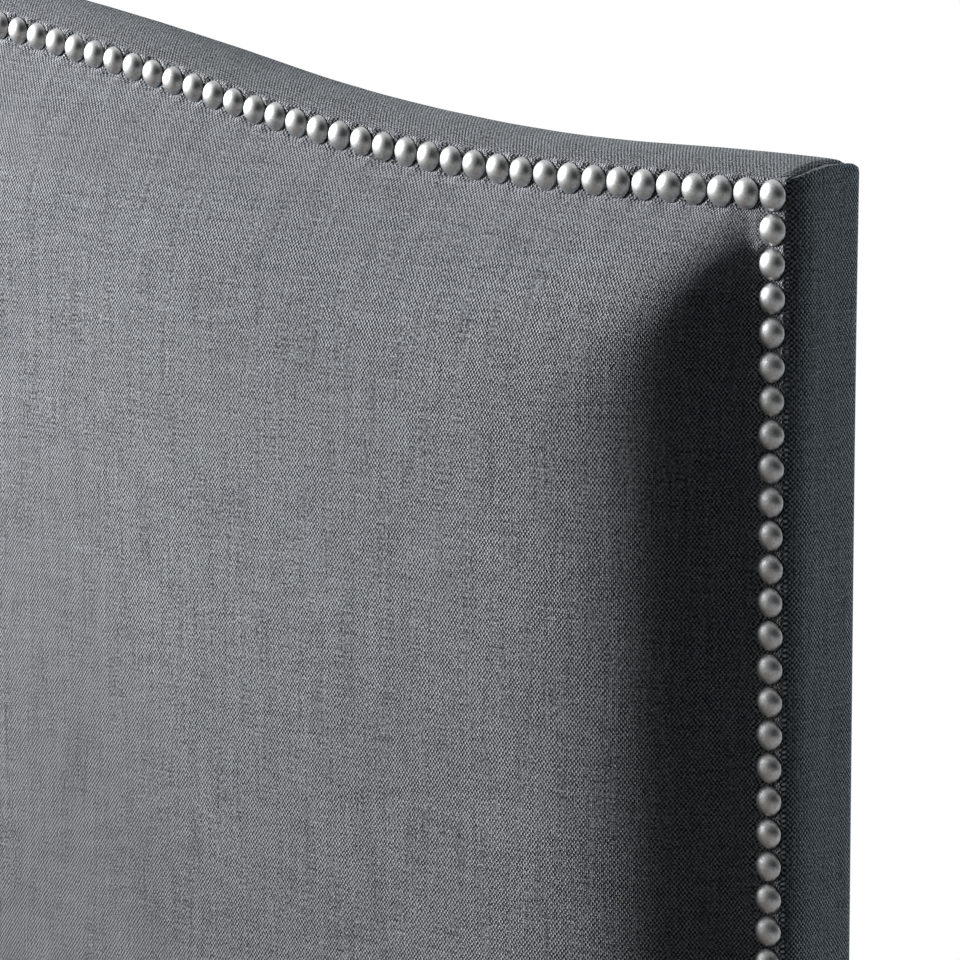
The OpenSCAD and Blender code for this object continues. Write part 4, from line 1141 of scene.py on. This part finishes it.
def railUpholstery(name, side, nodes, moves):
    skin, board = soft["skin"], sideRail["board"]
    height = sideRail["high"] - sideRail["low"]
    outer = paddedLoop(board, sideRail["edge"], sideRail["crown"], height)
    top = [(between(board, -skin + 1.2 * mm, k / 5), height) for k in range(6)]
    top += [(-skin + 0.35 * mm, height - 0.35 * mm), (-skin, height - 1.2 * mm)]
    inTop = [(-skin, between(height - 6 * mm, height - sideRail["return"], k / 4)) for k in range(5)]
    foot = [(-skin, between(sideRail["return"], 6 * mm, k / 4)) for k in range(5)]
    foot += [(-skin, 1.2 * mm), (-skin + 0.35 * mm, 0.35 * mm)]
    foot += [(between(-skin + 1.2 * mm, board, k / 5), 0.0) for k in range(6)]
    cloth = foot + outer + top + inTop
    behind, within = -skin + soft["cloth"], board + 0.1 * mm
    lining = [(behind, height - sideRail["return"]), (behind, height - skin), (within, height - skin)]
    lining += [(within, skin), (behind, skin), (behind, sideRail["return"])]
    section = cloth + lining
    marks = loopLength(section)
    stations = soft["railStations"]
    points, threads = [], []
    first, last = len(foot), len(foot) + len(outer) - 1
    for c in range(stations):
        u = c / (stations - 1)
        y = between(sideRail["front"], sideRail["back"], u)
        for k, (out, up) in enumerate(section):
            x, z = sideRail["inner"] + out, sideRail["low"] + up
            if first < k < last:
                move = sampled(moves, *soft["railGrid"], u, (k - first) / (last - first))
                x += move.x
                z += move.z
                x += soft["railPull"] * wander(y * 7, z * 24, 2.0 + side) * smooth(min(u, 1 - u) * 60)
            elif k < len(cloth) and out < 0 and len(foot) - 7 < k:
                x += soft["underPull"] * wander(y * 30, z * 20, 7.0 + side)
            points.append(Vector((side * x, y, z)))
            threads.append((y, marks[k]))
    piece = newPiece(name, points, tubeFaces(stations, len(section)), linen, threads)
    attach(piece, "bed")
    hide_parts(*nodes)


def railSwell():
    height = sideRail["high"] - sideRail["low"]
    outer = paddedLoop(sideRail["board"], sideRail["edge"], sideRail["crown"], height)

    def place(along, out, up):
        return Vector((sideRail["inner"] + out, along, sideRail["low"] + up))

    ends = sideRail["front"], sideRail["back"]
    return faceSwell(outer, soft["railGrid"], *ends, place, soft["pressure"], soft["railSwell"])


def footboardUpholstery():
    skin, board = soft["skin"], footboard["board"]
    height = footboard["high"] - footboard["low"]
    outer = paddedLoop(board, footboard["edge"], footboard["crown"], height, 26)
    top = [(between(board, 4 * mm, k / 5), height) for k in range(1, 6)]
    roll = footboard["cornerRoll"]
    turns = [math.pi / 2 * k / 5 for k in range(6)]
    corner = [(-skin + roll - roll * math.sin(a), height - roll + roll * math.cos(a)) for a in turns]
    inner = [(-skin, between(height - 10 * mm, 10 * mm, k / 12)) for k in range(13)]
    under = [(-skin + roll - roll * math.cos(a), roll - roll * math.sin(a)) for a in turns]
    under += [(between(4 * mm, board, k / 5), 0.0) for k in range(1, 6)]
    section = outer + top + corner + inner + under
    marks = loopLength(section)
    centre = (board * 0.6, height / 2)

    def place(along, out, up):
        return Vector((along, footboard["inner"] - skin - out, footboard["low"] + up))

    ends = -halfWidth, halfWidth
    moves = faceSwell(outer, soft["footGrid"], *ends, place, -soft["pressure"], soft["footSwell"])
    middle, wide = soft["footStations"], halfWidth - soft["footEndRun"]
    xs = [-halfWidth + e * mm for e in soft["footEnds"]]
    xs += [between(-wide, wide, k / middle) for k in range(middle + 1)]
    xs += [halfWidth - e * mm for e in reversed(soft["footEnds"])]
    points, threads = [], []
    for x in xs:
        fromEnd = halfWidth - abs(x)
        shrink = rolled(fromEnd, footboard["roundness"])
        u = (x + halfWidth) / (2 * halfWidth)
        for k, (out, up) in enumerate(section):
            away = Vector((centre[0] - out, centre[1] - up))
            toOut = min(abs(away.x), shrink) * (1 if away.x > 0 else -1)
            toUp = min(abs(away.y), shrink) * (1 if away.y > 0 else -1)
            y = footboard["inner"] - skin - (out + toOut)
            z = footboard["low"] + up + toUp
            if k < len(outer):
                move = sampled(moves, *soft["footGrid"], u, k / (len(outer) - 1))
                y += move.y
                z += move.z
                y += soft["footPull"] * wander(x * 8, z * 16, 12.0) * smooth(fromEnd / 0.05)
            points.append(Vector((x, y, z)))
            threads.append((x, marks[k]))
    count = len(section)
    faces = loftFaces(len(xs), count)
    for base, sign in ((0, -1), (len(points) - count, 1)):
        ring = [points[base + k] for k in range(count)]
        loops = [base]
        for share in footboard["endShares"]:
            start = len(points)
            for k, p in enumerate(ring):
                mid = Vector((p.x, footboard["inner"] - skin - centre[0], footboard["low"] + centre[1]))
                q = mid.lerp(p, share)
                q.x += sign * footboard["endBulge"] * (1 - share)
                points.append(q)
                threads.append((q.y, q.z))
            loops.append(start)
        for a, b in zip(loops, loops[1:]):
            faces += bridge(range(a, a + count), range(b, b + count))
        faces.append(tuple(loops[-1] + k for k in range(count)))
    piece = newPiece("FootboardUpholstery", points, faces, linen, threads)
    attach(piece, "bed")
    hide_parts("footboard_cover", "footboard_foam")


railMoves = railSwell()
railUpholstery("RailUpholsteryRight", 1, ("rail_cover_right", "rail_padding_right"), railMoves)
railUpholstery("RailUpholsteryLeft", -1, ("rail_cover_left", "rail_padding_left"), railMoves)
footboardUpholstery()
print("rails and footboard upholstered")

# Webbing straps under the slats
slatNames = ["slat_%02d" % k for k in range(1, 13)]
straps = {
    "width": 25 * mm,
    "thick": 1.2 * mm,
    "sag": 1.6 * mm,
    "step": 8 * mm,
    "shares": [-1, -0.96, -0.7, -0.4, -0.1, 0.1, 0.4, 0.7, 0.96, 1],
}


def slatStraps():
    low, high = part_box("slat_straps")
    under = sorted((a.y, b.y) for a, b in map(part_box, slatNames))
    spans = [(this[1], following[0]) for this, following in zip(under, under[1:])]
    for name, side in (("SlatStrapLeft", -1), ("SlatStrapRight", 1)):
        mid = side * (high.x - straps["width"] / 2)
        stations = int((high.y - low.y) / straps["step"])
        shares = straps["shares"]
        points, threads = [], []
        for c in range(stations + 1):
            y = between(low.y, high.y, c / stations)
            drop = 0.0
            for a, b in spans:
                if a < y < b:
                    t = (y - a) / (b - a)
                    drop = straps["sag"] * 4 * t * (1 - t)
            # The upper face runs one way and the lower face back; the selvedges curl in a little
            for s in shares:
                across = s * straps["width"] / 2
                curl = 0.15 * mm if abs(s) == 1 else 0.0
                points.append(Vector((mid + across, y, high.z - drop - curl)))
                threads.append((across, y))
            for s in reversed(shares):
                across = s * straps["width"] / 2
                curl = 0.3 * mm if abs(s) == 1 else 0.0
                points.append(Vector((mid + across, y, high.z - drop - straps["thick"] + curl)))
                threads.append((across, y))
        piece = newPiece(name, points, tubeFaces(stations + 1, 2 * len(shares)), webbing, threads)
        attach(piece, "bed")
    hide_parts("slat_straps")


slatStraps()
print("straps run")

# Finishes of the parts that stay as they are
carried = {
    postWood: ["headboard_post_left", "headboard_post_right"],
    darkStain: ["foot_leg_left", "foot_leg_right"],
    pineAcross: [
        "camelback_rail", "headboard_mid_rail", "headboard_bottom_rail", "footboard_core", *slatNames,
    ],
    pineUpright: ["headboard_stile_lower", "headboard_stile_upper", "centre_leg_1", "centre_leg_2"],
    pineAlong: ["side_rail_left", "side_rail_right", "slat_ledger_left", "slat_ledger_right", "centre_beam"],
    beechAcross: ["headboard_dowels"],
    plywood: ["headboard_panel"],
    blackSteel: ["head_brackets", "foot_brackets", "beam_hangers"],
    zinc: [
        "frame_bolts", "bracket_screws", "leg_hanger_bolts", "leveller_inserts", "leveller_stem_1",
        "leveller_stem_2",
    ],
    nylon: ["floor_glides", "leveller_pad_1", "leveller_pad_2"],
}
for material, names in carried.items():
    for name in names:
        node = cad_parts[name]
        if not node.material_slots:
            node.data.materials.append(material)
        for holder in node.material_slots:
            holder.material = material
print("parts finished")

# Floor and room round the bed
room = {
    "floorRings": [1.0, 2.0, 3.0, 4.0, 5.0],
    "floorSides": 96,
    "clearRadius": 2.3,
    "whiteRadius": 3.5,
    "lift": 0.5,
    "mirrored": 0.8,
    "bounce": 0.22,
    "ambient": 0.022,
    "darkSide": (0.50, -0.86, 0.02),
    "darkRange": (0.10, 0.78, 0.85, 0.0),
    "spotBlend": 1.0,
    "spotRadius": 0.30,
}


def paleFloor():
    sides = room["floorSides"]
    rings = room["floorRings"]
    turns = [2 * math.pi * k / sides for k in range(sides)]
    points = [Vector((r * math.cos(a), r * math.sin(a), 0.0)) for r in rings for a in turns]
    points.append(Vector((0, 0, 0)))
    faces = loftFaces(len(rings), sides)
    faces += [(len(points) - 1, k, (k + 1) % sides) for k in range(sides)]
    f = Finish("paleFloor", Roughness=0.9)
    speckle = f.cloud(f.place(), 35.0, 4.0)
    f.paint("Base Color", f.blend(speckle, rgb(0.84, 0.84, 0.84), rgb(0.90, 0.90, 0.90)))
    away = f.add("VectorMath", {0: f.place()}, operation="LENGTH").outputs["Value"]
    paths = f.add("LightPath").outputs
    white = f.add("Emission", {0: rgb(1, 1, 1), 1: 1.0}).outputs[0]
    grey = f.add("BsdfDiffuse", {0: rgb(*[room["bounce"]] * 3)}).outputs[0]
    glossy = f.sum("MAXIMUM", paths["Is Glossy Ray"], paths["Is Transmission Ray"])
    shown = f.sum("MAXIMUM", paths["Is Camera Ray"], f.times(glossy, room["mirrored"]))
    clear = f.ramp(away, room["clearRadius"], room["whiteRadius"], room["lift"], 1.0)
    seen = f.add("MixShader", {0: clear, 1: f.shader.outputs[0], 2: white}).outputs[0]
    whole = f.add("MixShader", {0: shown, 1: grey, 2: seen}).outputs[0]
    out = next(n for n in f.tree.nodes if n.type == "OUTPUT_MATERIAL")
    f.put(out.inputs[0], whole)
    floor = newPiece("Floor", points, faces, f.material)
    for polygon in floor.data.polygons:
        polygon.use_smooth = False


# White behind the bed; what the metal mirrors is white too, with a dark room in front
def studioWorld():
    world = bpy.data.worlds.new("studioWorld")
    scene.world = world
    world.use_nodes = True
    world.node_tree.nodes.clear()
    n = Nodes(world.node_tree)
    paths = n.add("LightPath").outputs
    toward = n.add("TexCoord").outputs["Generated"]
    darkSide = Vector(room["darkSide"]).normalized()
    front = n.add("VectorMath", {0: toward, 1: darkSide}, operation="DOT_PRODUCT").outputs["Value"]
    gloom = n.ramp(front, *room["darkRange"])
    mirror = n.add("Background", {0: rgb(1.0, 1.0, 1.0), 1: gloom}).outputs[0]
    white = n.add("Background", {0: rgb(1.0, 1.0, 1.0), 1: 1.0}).outputs[0]
    dim = n.add("Background", {0: rgb(0.80, 0.96, 1.08), 1: room["ambient"]}).outputs[0]
    glossy = n.sum("MAXIMUM", paths["Is Glossy Ray"], paths["Is Transmission Ray"])
    first = n.add("MixShader", {0: glossy, 1: dim, 2: mirror}).outputs[0]
    last = n.add("MixShader", {0: paths["Is Camera Ray"], 1: first, 2: white}).outputs[0]
    n.put(n.add("OutputWorld").inputs[0], last)


# Lamps: kind, place, what it points at, strength, angle in degrees, colour
lamps = {
    "WindowKey": ("SUN", (-3.18, -0.45, 2.03), (0.4, 1.0, 1.0), 2.08, 28.0, (1.0, 1.0, 1.0)),
    "CornerSpot": ("SPOT", (-1.6, 0.0, 1.8), (0.04, 1.02, 1.30), 530.0, 26.0, (1.0, 1.0, 1.0)),
    "TopGlow": ("SUN", (0.0, 0.0, 3.0), (0.0, 0.0, 0.0), 0.05, 60.0, (1.0, 1.0, 1.0)),
    "BackGlow": ("SUN", (1.5, 2.6, 1.4), (0.2, 0.6, 0.4), 1.02, 40.0, (0.84, 0.98, 1.03)),
    "RearLeft": ("SUN", (-1.6, 2.8, 1.2), (-0.2, 0.6, 0.4), 0.45, 40.0, (0.9, 0.98, 1.02)),
}


def hangLamps():
    for name, (kind, spot, target, strength, size, colour) in lamps.items():
        data = bpy.data.lights.new(name, kind)
        data.energy = strength
        data.color = colour
        if kind == "SPOT":
            data.spot_size = math.radians(size)
            data.spot_blend = room["spotBlend"]
            data.shadow_soft_size = room["spotRadius"]
        else:
            data.angle = math.radians(size)
        lamp = bpy.data.objects.new(name, data)
        lamp.location = spot
        lamp.rotation_euler = (Vector(target) - Vector(spot)).to_track_quat("-Z", "Y").to_euler()
        scene.collection.objects.link(lamp)


# Camera at the photograph's angle: looking down a little at the right corner of the headboard
view = {
    "lens": 151.80,
    "sensor": 36.0,
    "clip": 0.05,
    "place": (1.69797, -0.05787, 1.38756),
    "right": (0.72988, 0.68355, -0.00604),
    "up": (-0.11449, 0.13095, 0.98476),
}


def setCamera():
    data = bpy.data.cameras.new("Camera")
    data.lens = view["lens"]
    data.sensor_width = view["sensor"]
    data.clip_start = view["clip"]
    right, up = Vector(view["right"]).normalized(), Vector(view["up"]).normalized()
    back = right.cross(up).normalized()
    up = back.cross(right)
    camera = bpy.data.objects.new("Camera", data)
    turn = Matrix((right, up, back)).transposed().to_4x4()
    camera.matrix_world = Matrix.Translation(Vector(view["place"])) @ turn
    scene.collection.objects.link(camera)
    scene.camera = camera


paleFloor()
studioWorld()
hangLamps()
setCamera()
scene.view_settings.view_transform = "Standard"
print("room lit")
